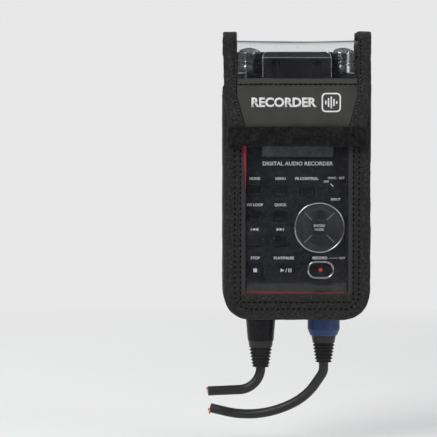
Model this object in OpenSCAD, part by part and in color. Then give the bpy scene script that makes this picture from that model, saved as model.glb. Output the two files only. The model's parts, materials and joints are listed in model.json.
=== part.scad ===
// Portable field recorder in its belt pouch, with two microphone leads plugged in.
// Millimetres, +Z up, the front faces -Y. Every part is drawn in the pouch's frame:
// X 0 is mid-width, Y 0 is the outer face of the pouch's back, Z 0 is mid-height.
// placed() then moves the origin to the outer face of the belt loop, where the pouch is worn.

/* [Recorder] */
// Width of the casing
rec_w = 80; // [79:0.5:80]
// Height of the casing below the microphones
rec_h = 135; // [134:0.5:135]
// Depth of the casing
rec_d = 35; // [34:0.5:35]
// Corner radius of the casing
rec_r = 6; // [4:0.5:7]
// Thickness of the casing's walls
skin = 2; // [1.8:0.1:2.2]
// How far the casing's bottom edge lies below mid-height
rec_drop = 75; // [74.5:0.1:75.2]

/* [Controls] */
// Travel of a push button
key_travel = 0.5; // [0.3:0.1:0.5]
// How far a push button stands proud of the face
key_proud = 0.8; // [0.4:0.1:1.0]
// Radius of the jog wheel
wheel_r = 14.9; // [14.6:0.1:15.3]
// Radius of the button in the middle of the wheel
enter_r = 5.2; // [4.6:0.1:5.4]
// Radius of the outer record level dial
level_r = 8.5; // [7.5:0.1:9]
// Radius of the phones volume dial
volume_r = 6; // [5:0.1:6.5]

/* [Microphones] */
// Radius of a microphone head
mic_r = 7.4; // [6:0.1:7.6]
// Length of a microphone head
mic_len = 20; // [17:0.5:20]
// Outward lean of a microphone head, in degrees
mic_lean = 0; // [0:1:16]
// Width of the block between the microphones
bridge_w = 43; // [40:0.5:43]
// Height of the block between the microphones
bridge_h = 17; // [16:0.5:18]
// Height of the bevel along the block's top front edge
bridge_bevel = 3.6; // [2:0.2:5]

/* [Pouch] */
// Half the width of the padded shell
shell_half = 46; // [45.5:0.1:46]
// How far the shell's floor lies below mid-height
shell_drop = 90; // [89.5:0.1:90.5]
// How high the side walls stand above mid-height
side_top = 56; // [50:1:57]
// How high the back panel stands above mid-height
back_top = 72.5; // [70:0.5:72.5]
// Half the width of the front window
window_half = 32; // [30:0.5:33]
// Height of the window's top edge above mid-height
window_top = 18; // [14:0.5:18]
// How far the window's bottom edge lies below mid-height
window_drop = 74.4; // [74:0.1:76]

/* [Flap] */
// Height of the flap's straps above mid-height
flap_top = 89.4; // [88.8:0.1:92]
// Width of each side strap
strap_w = 9; // [8:0.5:10]
// Height of the clear film's top above mid-height
film_top = 84; // [83.6:0.1:85]
// Height of the grey panel's top edge above mid-height
panel_top = 56.8; // [54:0.1:60]
// Height of the closure band
band_h = 11.8; // [11:0.1:11.8]

/* [Belt loop] */
// Width of the belt loop
loop_w = 48; // [40:1:60]
// Gap between the belt loop and the pouch's back
loop_gap = 5.1; // [4:0.1:6]

/* [Leads] */
// Half the distance between the two plugs
plug_x = 20; // [19.5:0.1:20.5]
// How far the pair of plugs sits left of mid-width
plug_shift = 2.2; // [1.5:0.1:2.3]
// Radius of a lead
lead_r = 3; // [2.8:0.1:3]
// Outer radius of a plug's shell
plug_r = 9.35; // [9:0.05:9.4]
// Radius of the coloured ring
ring_r = 10.2; // [9.8:0.1:10.4]

/* [Hidden] */
$fn = 48;

far = 200;            // past everything, for cutting tools
eps = 0.01;           // overlap that keeps a cut from ending on a face
fit = 0.1;            // gap between sewn or nested layers
run = 0.05;           // radial clearance of a turning shaft

// Layers from the pouch's back, at Y 0, to its front
back_t = 3;
lining_t = 0.5;
lining_y = -back_t - fit;
rec_y = lining_y - lining_t - 0.4;        // back of the recorder
face_y = rec_y - rec_d;                   // front face of the recorder
axis_y = rec_y - rec_d / 2;               // mid-depth of the recorder
split_y = axis_y;                         // where the casing halves meet
lining_front_y = face_y - 1;
shell_front_y = lining_front_y + fit;
film_y = lining_front_y - lining_t - fit; // window film
film_t = 0.4;
panel_y = film_y - film_t - fit;          // front panel
panel_t = 2.2;
loop_y = panel_y - panel_t - 0.05;        // loop tape on the front panel
tape_t = 0.7;
hook_y = loop_y - tape_t - fit;           // hook tape under the flap
strap_y = hook_y - tape_t - fit;          // flap's front leg
strap_t = 2.2;
band_y = strap_y - strap_t - fit;
band_t = 1.2;

// Heights
rec_z = -rec_drop;                        // bottom of the recorder
rec_top = rec_z + rec_h;
bind_w = 3;                               // width of the tape round the window
floor_t = 7;                              // thick end wall that holds the sockets
shell_z = -shell_drop;
floor_z = shell_z + 8.2;                  // inside of the padded floor
panel_bar_top = window_top + 13;
flap_open_z = panel_bar_top - 1.2;          // bottom of the flap's opening
flap_bottom = panel_bar_top - 12.6;
hinge_y = 0.2;                            // just behind the back panel
hinge_z = back_top + 0.9;
flap_start = back_top + 1.8;              // lower edge of the flap's back leg
back_leg = 2.4;                           // height of the leg below the clear film

// Face layout: [x, z, width, height]
home_key = [-26.4, -9.7, 8.4, 5.8];
menu_key = [-10.2, -9.7, 8.4, 5.8];
playback_key = [6.4, -9.7, 8.4, 5.8];
loop_key = [-26.4, -25.7, 8.4, 5.8];
quick_key = [-10.2, -25.7, 8.4, 5.8];
rewind_key = [-26.4, -41.7, 8.4, 5.8];
forward_key = [-10.2, -41.7, 8.4, 5.8];
stop_key = [-26, -59.7, 9, 7.6];
play_key = [-7, -59.7, 13, 7.6];
record_key = [15, -59.4, 14.2, 8.4];
round_keys = [home_key, menu_key, playback_key, loop_key, quick_key, rewind_key, forward_key,
              stop_key, play_key];
key_r = 1.5;
key_gap = 0.15;
wheel_at = [14.2, -32.9];
bezel_r = wheel_r + 1;
selector_at = [24, -8.3];
selector_r = 5;
display_at = [0.5, 28.4];
display_w = 48;
display_h = 37.2;
board_z = -4;                             // key board's front, below the face
dome_h = 0.7;

// Side controls: heights above mid-height
level_z = 24;
hold_z = 41;
volume_z = 40;
phones_z = 27;
line_z = 16;
jack_r = 1.8;
jack_len = 13;
door_z0 = -34.6;                          // card door's hinge line
door_h = 26;
door_w = 17;
door_x = -rec_w / 2 + 0.9;
port_y0 = axis_y - 11.5;
port_w = 23;

// Sockets and plugs
socket_r = 11.5;
socket_bore = 9.6;
socket_depth = 17;
core_r = 7.2;
pin_r = 1.15;
pin_ring = 4.5;
plug_in = 15;
left_boot_z = -105.5;
right_boot_z = -102.5;
boot_len = 17;

// ---- helpers ----

module placed() {
    translate([0, -loop_out(), -loop_mid()]) children();
}

// A profile in X and Z, extruded from y_back forward to y_front.
module front_slab(y_back, y_front) {
    translate([0, y_back, 0]) rotate([90, 0, 0]) linear_extrude(y_back - y_front) children();
}

// A profile in Y and Z, extruded from x0 to x1.
module side_slab(x0, x1) {
    translate([x0, 0, 0]) rotate([90, 0, 90]) linear_extrude(x1 - x0) children();
}

// Rounded rectangle about the origin, with true arcs.
module rrect(w, h, r) {
    square([w - 2 * r, h], center = true);
    square([w, h - 2 * r], center = true);
    for (sx = [-1, 1], sy = [-1, 1]) translate([sx * (w / 2 - r), sy * (h / 2 - r)]) circle(r);
}

// Upright outline with rounded bottom corners.
module tub(half, bottom, top, r) {
    translate([-half, bottom + r]) square([2 * half, top - bottom - r]);
    translate([-half + r, bottom]) square([2 * (half - r), top - bottom]);
    for (s = [-1, 1]) translate([s * (half - r), bottom + r]) circle(r);
}

// Outline with rounded top corners, from far below up to top, between two Y positions.
module arch(y_front, y_back, top, r) {
    translate([y_front, -far]) square([y_back - y_front, top - r + far]);
    translate([y_front + r, -far]) square([y_back - y_front - 2 * r, top + far]);
    for (y = [y_front + r, y_back - r]) translate([y, top - r]) circle(r);
}

// Local frame on the recorder's face: +Z points out of the face.
module on_face(at) {
    translate([at[0], face_y, at[1]]) rotate([90, 0, 0]) children();
}

// Local frame on the left or right side: +Z points out of the side.
module on_side(s, z, y = axis_y) {
    translate([s * rec_w / 2, y, z]) rotate([0, s * 90, 0]) children();
}

// Local frame at a socket: Z 0 is the recorder's bottom, +Z points up into it.
module at_socket(s) {
    translate([s * plug_x - plug_shift, axis_y, rec_z]) children();
}

module tube(r_out, r_in, h) {
    difference() {
        cylinder(r = r_out, h = h);
        translate([0, 0, -eps]) cylinder(r = r_in, h = h + 2 * eps);
    }
}

// ---- recorder: casing ----

module casing_outline(inset = 0, bottom = 0) {
    h = rec_h - inset - (bottom > 0 ? bottom : inset);
    translate([0, rec_top - inset - h / 2]) rrect(rec_w - 2 * inset, h, rec_r - inset);
}

// Everything that passes through the casing's walls, shared by both halves.
module casing_ports() {
    for (s = [-1, 1]) {
        at_socket(s) translate([0, 0, -eps]) cylinder(r = socket_r + fit, h = floor_t + 1);
        at_socket(s) translate([-3.2, -13.35, -eps]) cube([6.4, 1.8, floor_t + 1]);
    }
    on_side(1, level_z) translate([0, 0, -skin - 1]) cylinder(r = 4.6, h = skin + 2);
    on_side(1, hold_z) translate([-5.5, -1.2, -skin - 1]) cube([9, 2.4, skin + 2]);
    on_side(-1, volume_z) translate([0, 0, -skin - 1]) cylinder(r = 2 + run, h = skin + 2);
    for (z = [phones_z, line_z])
        on_side(-1, z) translate([0, 0, -skin - 1]) cylinder(r = 3.2 + fit, h = skin + 2);
    // card opening, its hinge's room and the holes for its trunnions
    translate([-rec_w / 2 - 1, axis_y - door_w / 2 - fit, door_z0 - 1.3])
        cube([skin + 2, door_w + 2 * fit, door_h + 1.5]);
    translate([door_x, axis_y - door_w / 2 - 1.6, door_z0])
        rotate([-90, 0, 0]) cylinder(r = 0.5 + run, h = door_w + 3.2);
}

module key_hole(k) {
    on_face(k) translate([0, 0, -skin - 1])
        linear_extrude(skin + 2) rrect(k[2] + 2 * key_gap, k[3] + 2 * key_gap, key_r + key_gap);
}

// The sloping edge at the foot of the face.
module foot_bevel(depth = 3.5, height = 8.4) {
    slope = height / depth;
    side_slab(-rec_w, rec_w) polygon([
        [face_y - 1, rec_z + height + slope],
        [face_y - 1, rec_z - slope],
        [face_y + depth + 1, rec_z - slope]
    ]);
}

module front_casing() {
    color("#1b1b1d") difference() {
        union() {
            difference() {
                front_slab(split_y - 0.05, face_y) casing_outline();
                front_slab(split_y + 1, face_y + skin) casing_outline(skin, floor_t);
            }
            for (at = boss_places) translate([at[0], split_y - 0.05, at[1]])
                rotate([90, 0, 0]) cylinder(r = boss_r, h = rec_d / 2 - 0.5);
        }
        for (at = screw_places) translate([at[0], split_y + 1, at[1]])
            rotate([90, 0, 0]) cylinder(r = thread_r + run, h = 8);
        foot_bevel();
        for (k = round_keys) key_hole(k);
        on_face(record_key) translate([0, 0, -skin - 1])
            linear_extrude(skin + 2) rrect(record_key[2] + 3, record_key[3] + 3, 5.6);
        on_face(wheel_at) translate([0, 0, -skin - 1]) cylinder(r = bezel_r + fit, h = skin + 2);
        on_face(selector_at) translate([0, 0, -skin - 1]) cylinder(r = 1.5 + run, h = skin + 2);
        on_face(display_at) translate([0, 0, -1.3])
            linear_extrude(3) rrect(display_w + 0.2, display_h + 0.2, 1.6);
        on_face(display_at) translate([0, 0, -skin - 1])
            linear_extrude(skin + 2) rrect(display_w - 3, display_h - 3, 1);
        casing_ports();
    }
}

module rear_casing() {
    color("#1b1b1d") difference() {
        union() {
            difference() {
                front_slab(rec_y, split_y + 0.05) casing_outline();
                front_slab(rec_y - skin, split_y - 1) casing_outline(skin, floor_t);
            }
            for (at = boss_places) translate([at[0], rec_y - 0.5, at[1]])
                rotate([90, 0, 0]) cylinder(r = boss_r, h = rec_d / 2 - 0.55);
        }
        // battery opening, and the finger recess its door slides into
        front_slab(rec_y + 1, rec_y - skin - 1) translate([0, -20]) square([70, 54], center = true);
        front_slab(rec_y + 1, rec_y - 1.5) translate([0, 9.9]) square([70, 6], center = true);
        for (x = [-5:2.5:5], z = [-5:2.5:5])
            translate([22 + x, rec_y + 1, 36 + z]) rotate([90, 0, 0]) cylinder(r = 0.8, h = 4);
        for (at = screw_places) translate([at[0], rec_y + 1, at[1]]) rotate([90, 0, 0]) {
            cylinder(r = 2.3, h = 2.4);
            cylinder(r = thread_r + fit, h = rec_d);
        }
        casing_ports();
    }
}

boss_places = [[-33.5, 53], [33.5, 53]];
screw_places = concat(boss_places, [[-plug_shift, rec_z + floor_t / 2]]);
boss_r = 2.8;
thread_r = 0.95;

module casing_screws() {
    color("#8a8a8c") for (at = screw_places) translate([at[0], rec_y - 0.2, at[1]])
        rotate([90, 0, 0]) difference() {
            union() {
                cylinder(r = 2, h = 1.1);
                cylinder(r = thread_r, h = 23);
            }
            for (a = [0, 90]) rotate(a) translate([-1.3, -0.25, -eps]) cube([2.6, 0.5, 0.7]);
        }
}

module battery_door() {
    color("#1f1f21") {
        front_slab(rec_y - 0.1, rec_y - 1.4) translate([0, -20]) square([69.6, 53.6], center = true);
        for (z = [-1:1:1]) front_slab(rec_y, rec_y - 0.2) translate([0, 1 + 2 * z])
            square([20, 0.8], center = true);
    }
}

// ---- recorder: display and face controls ----

module display_lens() {
    color("#20262a", 0.5) on_face(display_at) translate([0, 0, -1.25])
        linear_extrude(1.2) rrect(display_w, display_h, 1.5);
}

module display_panel() {
    color("#4a5048") on_face(display_at) translate([0, 0, -skin - 2.9])
        linear_extrude(2.8) square([display_w - 0.5, display_h - 1], center = true);
}

// A push button: cap, retaining flange behind the face.
module key_cap(k, r = key_r) {
    on_face(k) {
        translate([0, 0, -skin - 0.2])
            linear_extrude(skin + 0.2 + key_proud) rrect(k[2], k[3], r);
        translate([0, 0, -skin - 0.7]) linear_extrude(0.5) rrect(k[2] + 1.4, k[3] + 1.4, r);
    }
}

module black_key(k) {
    color("#141416") key_cap(k);
}

module record_button() {
    color("#141416") on_face(record_key) {
        translate([0, 0, -skin - 0.2]) linear_extrude(skin + 0.9)
            rrect(record_key[2], record_key[3], record_key[3] / 2 - 0.2);
        translate([0, 0, -skin - 0.7]) linear_extrude(0.5)
            rrect(record_key[2] + 1.4, record_key[3] + 1.4, 4.6);
    }
}

module record_bezel() {
    color("#a9abad") on_face(record_key) translate([0, 0, -skin + 0.2]) difference() {
        linear_extrude(skin + 0.8) rrect(record_key[2] + 2.8, record_key[3] + 2.8, 5.5);
        translate([0, 0, -1]) linear_extrude(skin + 3)
            rrect(record_key[2] + 0.4, record_key[3] + 0.4, 4.2);
    }
}

module wheel_bezel() {
    color("#b4b6b8") on_face(wheel_at) translate([0, 0, -skin]) tube(bezel_r, wheel_r + 0.2, skin + 1);
}

// Dished wheel with four radial grooves and a skirt that reaches the encoder.
module jog_wheel() {
    bore = enter_r + 0.2;
    color("#1a1a1c") on_face(wheel_at) difference() {
        rotate_extrude($fn = 96) polygon([
            [bore, -2], [bore, 0.5], [bore + 1.2, 0.4], [wheel_r - 4, 0.5], [wheel_r - 1.2, 1],
            [wheel_r, 0.8], [wheel_r, -1.8], [11.5, -1.8], [11.5, -3.2], [9, -3.2], [9, -2]
        ]);
        for (a = [45:90:315]) rotate(a)
            translate([bore + 0.9, -0.6, 0.1]) cube([wheel_r - bore - 2.4, 1.2, 2]);
    }
}

module enter_button() {
    color("#1d1d1f") on_face(wheel_at) {
        translate([0, 0, -2.3]) cylinder(r = enter_r, h = 3);
        translate([0, 0, -2.7]) cylinder(r = enter_r + 1.4, h = 0.5);
    }
}

module input_selector() {
    color("#161618") on_face(selector_at) {
        difference() {
            translate([0, 0, 0.1]) cylinder(r = selector_r, h = 1.1);
            rotate(135) translate([selector_r - 2.6, -0.35, 0.9]) cube([3, 0.7, 1]);
        }
        translate([0, 0, -3.2]) cylinder(r = 1.5, h = 3.4);
    }
}

// ---- recorder: boards and cells ----

module dome(at) {
    on_face(at) translate([0, 0, board_z]) cylinder(r = 2.2, h = dome_h);
}

module key_board() {
    color("#1f5a34") on_face([0, 0]) translate([0, -28.5, board_z - 1])
        linear_extrude(1) square([72, 70], center = true);
    color("#b9b9ba") {
        for (k = round_keys) dome(k);
        dome(record_key);
        on_face(wheel_at) translate([0, 0, board_z]) cylinder(r = 2.2, h = dome_h);
        on_face(wheel_at) translate([0, 0, board_z]) tube(11.3, 9.2, dome_h);
        on_face(selector_at) translate([0, 0, board_z]) cylinder(r = 3, h = dome_h);
    }
}

// Chip: [x, z, width, height, thickness]
chips = [[-8, 20, 18, 18, 1.6], [13, 22, 12, 12, 1.4], [-24, 40, 10, 8, 1.5], [8, 42, 16, 7, 2],
         [22, -2, 12, 9, 1.5], [0, -6, 9, 9, 1.2], [-14, -30, 14, 6, 3], [16, -32, 14, 6, 3]];

module main_board() {
    board_y = axis_y - 5.2;
    color("#1d4f8a") front_slab(board_y, board_y - 1.4) difference() {
        translate([0, 4.5]) square([72, 100], center = true);
        for (at = boss_places) translate(at) circle(boss_r + 0.3);
    }
    color("#101012") for (c = chips)
        front_slab(board_y - 1.4, board_y - 1.4 - c[4]) translate([c[0], c[1]])
            square([c[2], c[3]], center = true);
    // record level pot and volume pot stand behind the board
    color("#9a9a9c") {
        translate([27.5, axis_y - 5.5, level_z - 6]) cube([6, 10.5, 12]);
        translate([-33.5, axis_y - 5.5, volume_z - 5]) cube([5, 10.5, 10]);
    }
}

cell_r = 7.15;
cell_len = 49.2;
cell_z = -45.2;
cell_y = rec_y - 2.4 - cell_r;
cell_xs = [-22.5, -7.5, 7.5, 22.5];

// The four cells lie side by side, the terminals all upward.
module batteries() {
    color("#c8a13a") for (x = cell_xs) translate([x, cell_y, cell_z]) {
        cylinder(r = cell_r, h = cell_len);
        translate([0, 0, cell_len - eps]) cylinder(r = 2.8, h = 1.2);
    }
}

// A plate above each cell and a pleated spring ring under it.
module battery_contacts() {
    turns = 3;
    rise = 0.35;
    color("#c4c6c8") for (x = cell_xs) {
        translate([x - 5, cell_y - 5, cell_z + cell_len + 1.3]) cube([10, 10, 0.4]);
        translate([x, cell_y, cell_z - 1.1]) rotate_extrude() polygon(concat(
            [for (i = [0:turns]) [3.2 + (i % 2) * 0.6, i * rise]],
            [for (i = [turns:-1:0]) [2.5 + (i % 2) * 0.6, i * rise]]
        ));
        translate([x - 5, cell_y - 5, cell_z - 1.5]) cube([10, 10, 0.4 + eps]);
    }
}

module speaker() {
    color("#2a2a2c") translate([22, rec_y - skin - 0.2, 36]) rotate([90, 0, 0]) {
        cylinder(r = 9.5, h = 2.2);
        translate([0, 0, 2.2 - eps]) cylinder(r = 5, h = 2.4);
    }
}

// ---- recorder: microphones ----

mic_x = bridge_w / 2 + mic_r + 0.7;

module mic_bridge() {
    color("#17171a") {
        difference() {
            front_slab(rec_y - 4, face_y + 1.5) difference() {
                translate([0, rec_top + bridge_h / 2 - 2]) rrect(bridge_w, bridge_h + 4, 3.5);
                translate([0, rec_top - 4 + run]) square([bridge_w + 2, 8], center = true);
            }
            for (s = [-1, 1]) translate([s * 13, face_y + 1, rec_top + 10])
                rotate([-90, 0, 0]) cylinder(r = 2.2, h = 3);
            side_slab(-bridge_w, bridge_w) translate([face_y + 1.5, rec_top + bridge_h]) polygon([
                [-1, 1], [-1, -bridge_bevel - 0.8], [1.25 * bridge_bevel + 1.25, 1]
            ]);
        }
        for (s = [-1, 1]) translate([s * mic_x, axis_y, rec_top + run]) difference() {
            union() {
                cylinder(r = mic_r + 0.3, h = 3);
                translate([-5, -5, 0]) cube([10, 10, 1.5]);
                translate([s > 0 ? -mic_x + bridge_w / 2 - 1 : 3, -5, 0])
                    cube([mic_x - bridge_w / 2 - 2, 10, 1.5]);
            }
            translate([0, 0, -0.5]) cylinder(r = 2.5, h = 4);
        }
    }
}

// Barrel, dark waist, grille ring and domed grille, turned in one piece on an upright stem.
module mic_head(s) {
    base = 3.2 + mic_r * sin(mic_lean);
    color("#b9bbbd") translate([s * mic_x, axis_y, rec_top + 0.3]) cylinder(r = 2.2, h = base + 1);
    color("#b9bbbd") translate([s * mic_x, axis_y, rec_top + base])
        rotate([0, s * mic_lean, 0]) rotate_extrude($fn = 64) polygon(concat(
            [[0, 0], [mic_r - 0.4, 0], [mic_r, 0.4], [mic_r, 6.4], [mic_r - 0.7, 6.8],
             [mic_r - 0.7, 7.8], [mic_r, 8.2], [mic_r, mic_len - 7]],
            [for (a = [0:15:90]) [(mic_r - 0.5) * cos(a), mic_len - 7 + 3.6 * sin(a)]]
        ));
}

// ---- recorder: sockets and side controls ----

module xlr_sockets() {
    color("#2c2c2e") for (s = [-1, 1]) at_socket(s) difference() {
        union() {
            cylinder(r = socket_r, h = 26);
            translate([0, 0, -1.5]) cylinder(r = 12.4, h = 1.5);
        }
        difference() {
            translate([0, 0, -1.5 - eps]) cylinder(r = socket_bore, h = socket_depth + 1.5);
            translate([0, 0, -2]) cylinder(r = core_r, h = socket_depth + 3);
        }
        translate([0, 0, -2]) cylinder(r = core_r + 1, h = 2.6);
        for (a = [90, 210, 330]) rotate(a) translate([pin_ring, 0, -3])
            cylinder(r = pin_r + 0.2, h = socket_depth + 3);
        translate([-3.2, -13.35, -2]) cube([6.4, 1.8, 2.1]);
    }
}

module xlr_release(s) {
    color("#b4b6b8") at_socket(s) {
        translate([-3, -13.2, -3.3]) cube([6, 1.5, 12.3]);
        translate([-3.6, -14.4, -4.4]) cube([7.2, 2.7, 1.2]);
    }
}

module side_jacks() {
    color("#2a2a2c") for (z = [phones_z, line_z]) on_side(-1, z)
        translate([0, 0, 0.6 - jack_len]) tube(3.2, jack_r, jack_len);
}

module level_dial_outer() {
    color("#222224") on_side(1, level_z) {
        difference() {
            translate([0, 0, 0.4]) cylinder(r = level_r, h = 2.6);
            translate([0, 0, -1]) cylinder(r = 3 + run, h = 6);
            for (a = [0:15:345]) rotate(a) translate([level_r, 0, 1]) cylinder(r = 0.45, h = 4);
        }
        translate([0, 0, -4]) tube(4.5, 3 + run, 4.4 + eps);
    }
}

module level_dial_inner() {
    color("#222224") on_side(1, level_z) {
        difference() {
            translate([0, 0, 3.2]) cylinder(r = level_r - 2.2, h = 2.6);
            for (a = [0:20:340]) rotate(a)
                translate([level_r - 2.2, 0, 3.6]) cylinder(r = 0.4, h = 4);
        }
        translate([0, 0, -6]) cylinder(r = 3, h = 9.3);
    }
}

module volume_dial() {
    color("#222224") on_side(-1, volume_z) {
        difference() {
            translate([0, 0, 0.4]) cylinder(r = volume_r, h = 3.6);
            for (a = [0:20:340]) rotate(a) translate([volume_r, 0, 1]) cylinder(r = 0.4, h = 4);
        }
        translate([0, 0, -6]) cylinder(r = 2, h = 6.5);
    }
}

module hold_switch() {
    color("#29292b") on_side(1, hold_z) {
        difference() {
            translate([-0.8, -2.4, 0.3]) cube([6, 4.8, 1.4]);
            for (i = [0:3]) translate([0.2 + 1.2 * i, -3, 1.3]) cube([0.5, 6, 1]);
        }
        translate([0.2, -1, -3.5]) cube([3, 2, 4]);
    }
}

module card_door() {
    color("#1d1d1f") {
        translate([-rec_w / 2, axis_y - door_w / 2, door_z0 + 0.5])
            cube([1.4, door_w, door_h - 0.6]);
        translate([door_x, axis_y - door_w / 2, door_z0])
            rotate([-90, 0, 0]) cylinder(r = 0.9, h = door_w);
        translate([door_x, axis_y - door_w / 2 - 1.4, door_z0])
            rotate([-90, 0, 0]) cylinder(r = 0.5, h = door_w + 2.8);
    }
}

module memory_card() {
    color("#20283c") side_slab(-37.6, -5.6) translate([axis_y - 1.6, door_z0 + 13.6])
        difference() {
            square([2.1, 24], center = true);
            translate([1.05, 12]) circle(0.6);
        }
}

// ---- pouch ----

module side_ports() {
    translate([0, port_y0, 10]) cube([far, port_w, 40]);
    translate([-far, port_y0, 8]) cube([far, port_w, 42]);
    translate([-far, port_y0, -38]) cube([far, port_w, 33]);
}

module cavity(grow = 0) {
    tub(rec_w / 2 + 1.2 + grow, floor_z - grow, far, rec_r + 1 + grow);
}

module plug_openings() {
    for (s = [-1, 1]) translate([s * plug_x - plug_shift, axis_y, shell_z - 5])
        cylinder(r = 13, h = 20);
}

module pouch_shell() {
    color("#2b2b2c") {
        difference() {
            front_slab(-back_t, shell_front_y) tub(shell_half, shell_z, side_top, 15.5);
            front_slab(-back_t + 1, shell_front_y - 1) cavity();
            side_ports();
            plug_openings();
        }
        front_slab(0, -back_t) intersection() {
            tub(shell_half, shell_z, far, 15.5);
            translate([0, back_top - 200]) rrect(2 * shell_half, 400, 8);
        }
    }
}

module pouch_lining() {
    reveal = 0.8;
    color("#a3222c") difference() {
        front_slab(lining_y, lining_front_y - lining_t) intersection() {
            cavity(-fit);
            translate([-far, -far]) square([2 * far, far + back_top - 1]);
        }
        // room for the recorder
        front_slab(lining_y - lining_t, lining_front_y) cavity(-fit - lining_t);
        // side walls stop at the height of the shell's
        translate([-far, lining_y - lining_t - far, side_top - 0.5]) cube([2 * far, far, far]);
        // the window, leaving a narrow reveal inside the front panel's
        front_slab(lining_front_y + 1, lining_front_y - 2)
            translate([-window_half + reveal, -window_drop + reveal])
                square([2 * (window_half - reveal), window_top + 8 + window_drop]);
        front_slab(lining_front_y + 1, lining_front_y - 2)
            translate([-far, window_top + 8]) square([2 * far, far]);
        side_ports();
        plug_openings();
    }
}

module window_film() {
    color("#dfe6ea", 0.25) front_slab(film_y, film_y - film_t)
        tub(window_half + 4, -window_drop - 4, window_top + 4, 3);
}

module window_outline(grow) {
    translate([0, (window_top - window_drop) / 2])
        rrect(2 * (window_half + grow), window_top + window_drop + 2 * grow, 1.5 + grow);
}

module front_panel() {
    color("#2f2f30") front_slab(panel_y, panel_y - panel_t) difference() {
        tub(shell_half - 2.6, shell_z + 2, panel_bar_top, 13.4);
        window_outline(bind_w + fit);
    }
}

// Smooth tape folded over the window's edge.
module window_binding() {
    color("#3a3a3b") front_slab(panel_y, panel_y - panel_t + 0.3) difference() {
        window_outline(bind_w);
        window_outline(0);
    }
}

module edge_binding() {
    color("#242425") front_slab(shell_front_y - 0.2, panel_y - panel_t - 0.7) difference() {
        tub(shell_half + 1, shell_z - 1.6, panel_bar_top, 17);
        tub(shell_half - 2.5, shell_z + 1.9, far, 13.5);
    }
}

module front_loop_strip() {
    color("#1c1c1d") front_slab(loop_y, loop_y - tape_t)
        translate([0, panel_bar_top - 7]) square([78, 11], center = true);
}

function loop_out() = loop_gap + 2.1;
function loop_mid() = 33;

// Webbing sewn flat at both ends, standing off the back between them.
module belt_loop() {
    web = 2;
    off = 0.1;
    low = -4;
    high = 70;
    flat_low = 8;
    flat_high = 58;
    color("#202021") side_slab(-loop_w / 2, loop_w / 2) polygon([
        [off + web, high], [off + web, high - 6], [loop_out(), flat_high],
        [loop_out(), flat_low], [off + web, low + 6], [off + web, low],
        [off, low], [off, low + 7], [loop_out() - web, flat_low + 1.2],
        [loop_out() - web, flat_high - 1.2], [off, high - 7], [off, high]
    ]);
}

// ---- flap ----

// Bent sheet from the hinge at the back, over the top and down the front.
module flap_sheet(y_front, y_back, top, r, t, x_half, bottom) {
    side_slab(-x_half, x_half) intersection() {
        difference() {
            arch(y_front, y_back, top, r);
            arch(y_front + t, y_back - t, top - t, r - t);
        }
        union() {
            translate([-far, bottom]) square([far - 20, far]);
            translate([-20.5, flap_start]) square([far, far]);
        }
    }
}

// Opening between the straps, narrowing towards the closure band.
module flap_opening(grow = 0) {
    wide = shell_half + 0.5 - strap_w + grow;
    narrow = wide - 5.5;
    low = flap_open_z - grow;
    polygon([
        [-narrow, low], [narrow, low], [wide, low + 20], [wide, far], [-wide, far],
        [-wide, low + 20]
    ]);
}

module flap_frame() {
    color("#262627") difference() {
        intersection() {
            flap_sheet(strap_y - strap_t, 0, flap_top, 6, strap_t, shell_half + 0.5, flap_bottom);
            front_slab(far, -far) polygon([
                [-shell_half - 0.5, far], [shell_half + 0.5, far], [shell_half + 0.5, 50],
                [shell_half - 2, 32], [shell_half - 2, 0], [-shell_half + 2, 0],
                [-shell_half + 2, 32], [-shell_half - 0.5, 50]
            ]);
        }
        front_slab(-4, -far) flap_opening();
        front_slab(far, -4.5) translate([-shell_half - 0.5 + strap_w, flap_start + back_leg])
            square([2 * (shell_half + 0.5 - strap_w), far]);
    }
}

module flap_window() {
    color("#dfe6ea", 0.25)
        difference() {
            flap_sheet(strap_y - 1.4, -0.9, film_top, 7, film_t, shell_half + 0.4 - strap_w,
                       panel_top + 0.1);
            translate([-far, -10, 0]) cube([2 * far, 20, flap_start + back_leg + 0.1]);
        }
}

module flap_panel() {
    color("#3e3f3f") front_slab(strap_y - 0.5, strap_y - 1.9) intersection() {
        flap_opening(-fit);
        translate([-far, 0]) square([2 * far, panel_top]);
    }
}

module flap_band() {
    color("#19191a") front_slab(band_y, band_y - band_t)
        translate([0, flap_open_z + 0.5 - band_h / 2]) rrect(2 * shell_half - 5, band_h, 2.5);
}

module flap_hook_strip() {
    color("#1c1c1d") front_slab(hook_y, hook_y - tape_t)
        translate([0, panel_bar_top - 7]) square([78, 11], center = true);
}

// ---- leads ----

// Metal shell round three pins, down to where the strain relief starts.
module plug_shell(end_r, end_z) {
    base = -1.6;
    difference() {
        rotate_extrude() polygon([
            [0, plug_in], [plug_r - 0.3, plug_in], [plug_r, plug_in - 0.5], [plug_r, base - 8.5],
            [end_r, base - 11], [end_r, end_z - rec_z], [0, end_z - rec_z]
        ]);
        translate([0, 0, base]) cylinder(r = core_r + 0.4, h = plug_in + 3);
        translate([0, 0, end_z - rec_z - 1]) cylinder(r = lead_r + 0.05, h = 12);
    }
    for (a = [90, 210, 330]) rotate(a) translate([pin_ring, 0, base - eps])
        cylinder(r = pin_r, h = plug_in - 0.5);
}

module plug_left() {
    color("#1b1b1c") at_socket(-1) difference() {
        plug_shell(plug_r, left_boot_z);
        // long taper towards the strain relief
        translate([0, 0, left_boot_z - rec_z - 1]) difference() {
            cylinder(r = plug_r + 2, h = 15);
            cylinder(r1 = plug_r - 1.2, r2 = plug_r + 0.06, h = 15 + eps);
        }
    }
}

module plug_right() {
    color("#1b1b1c") at_socket(1) plug_shell(plug_r - 1.2, right_boot_z);
}

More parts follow.
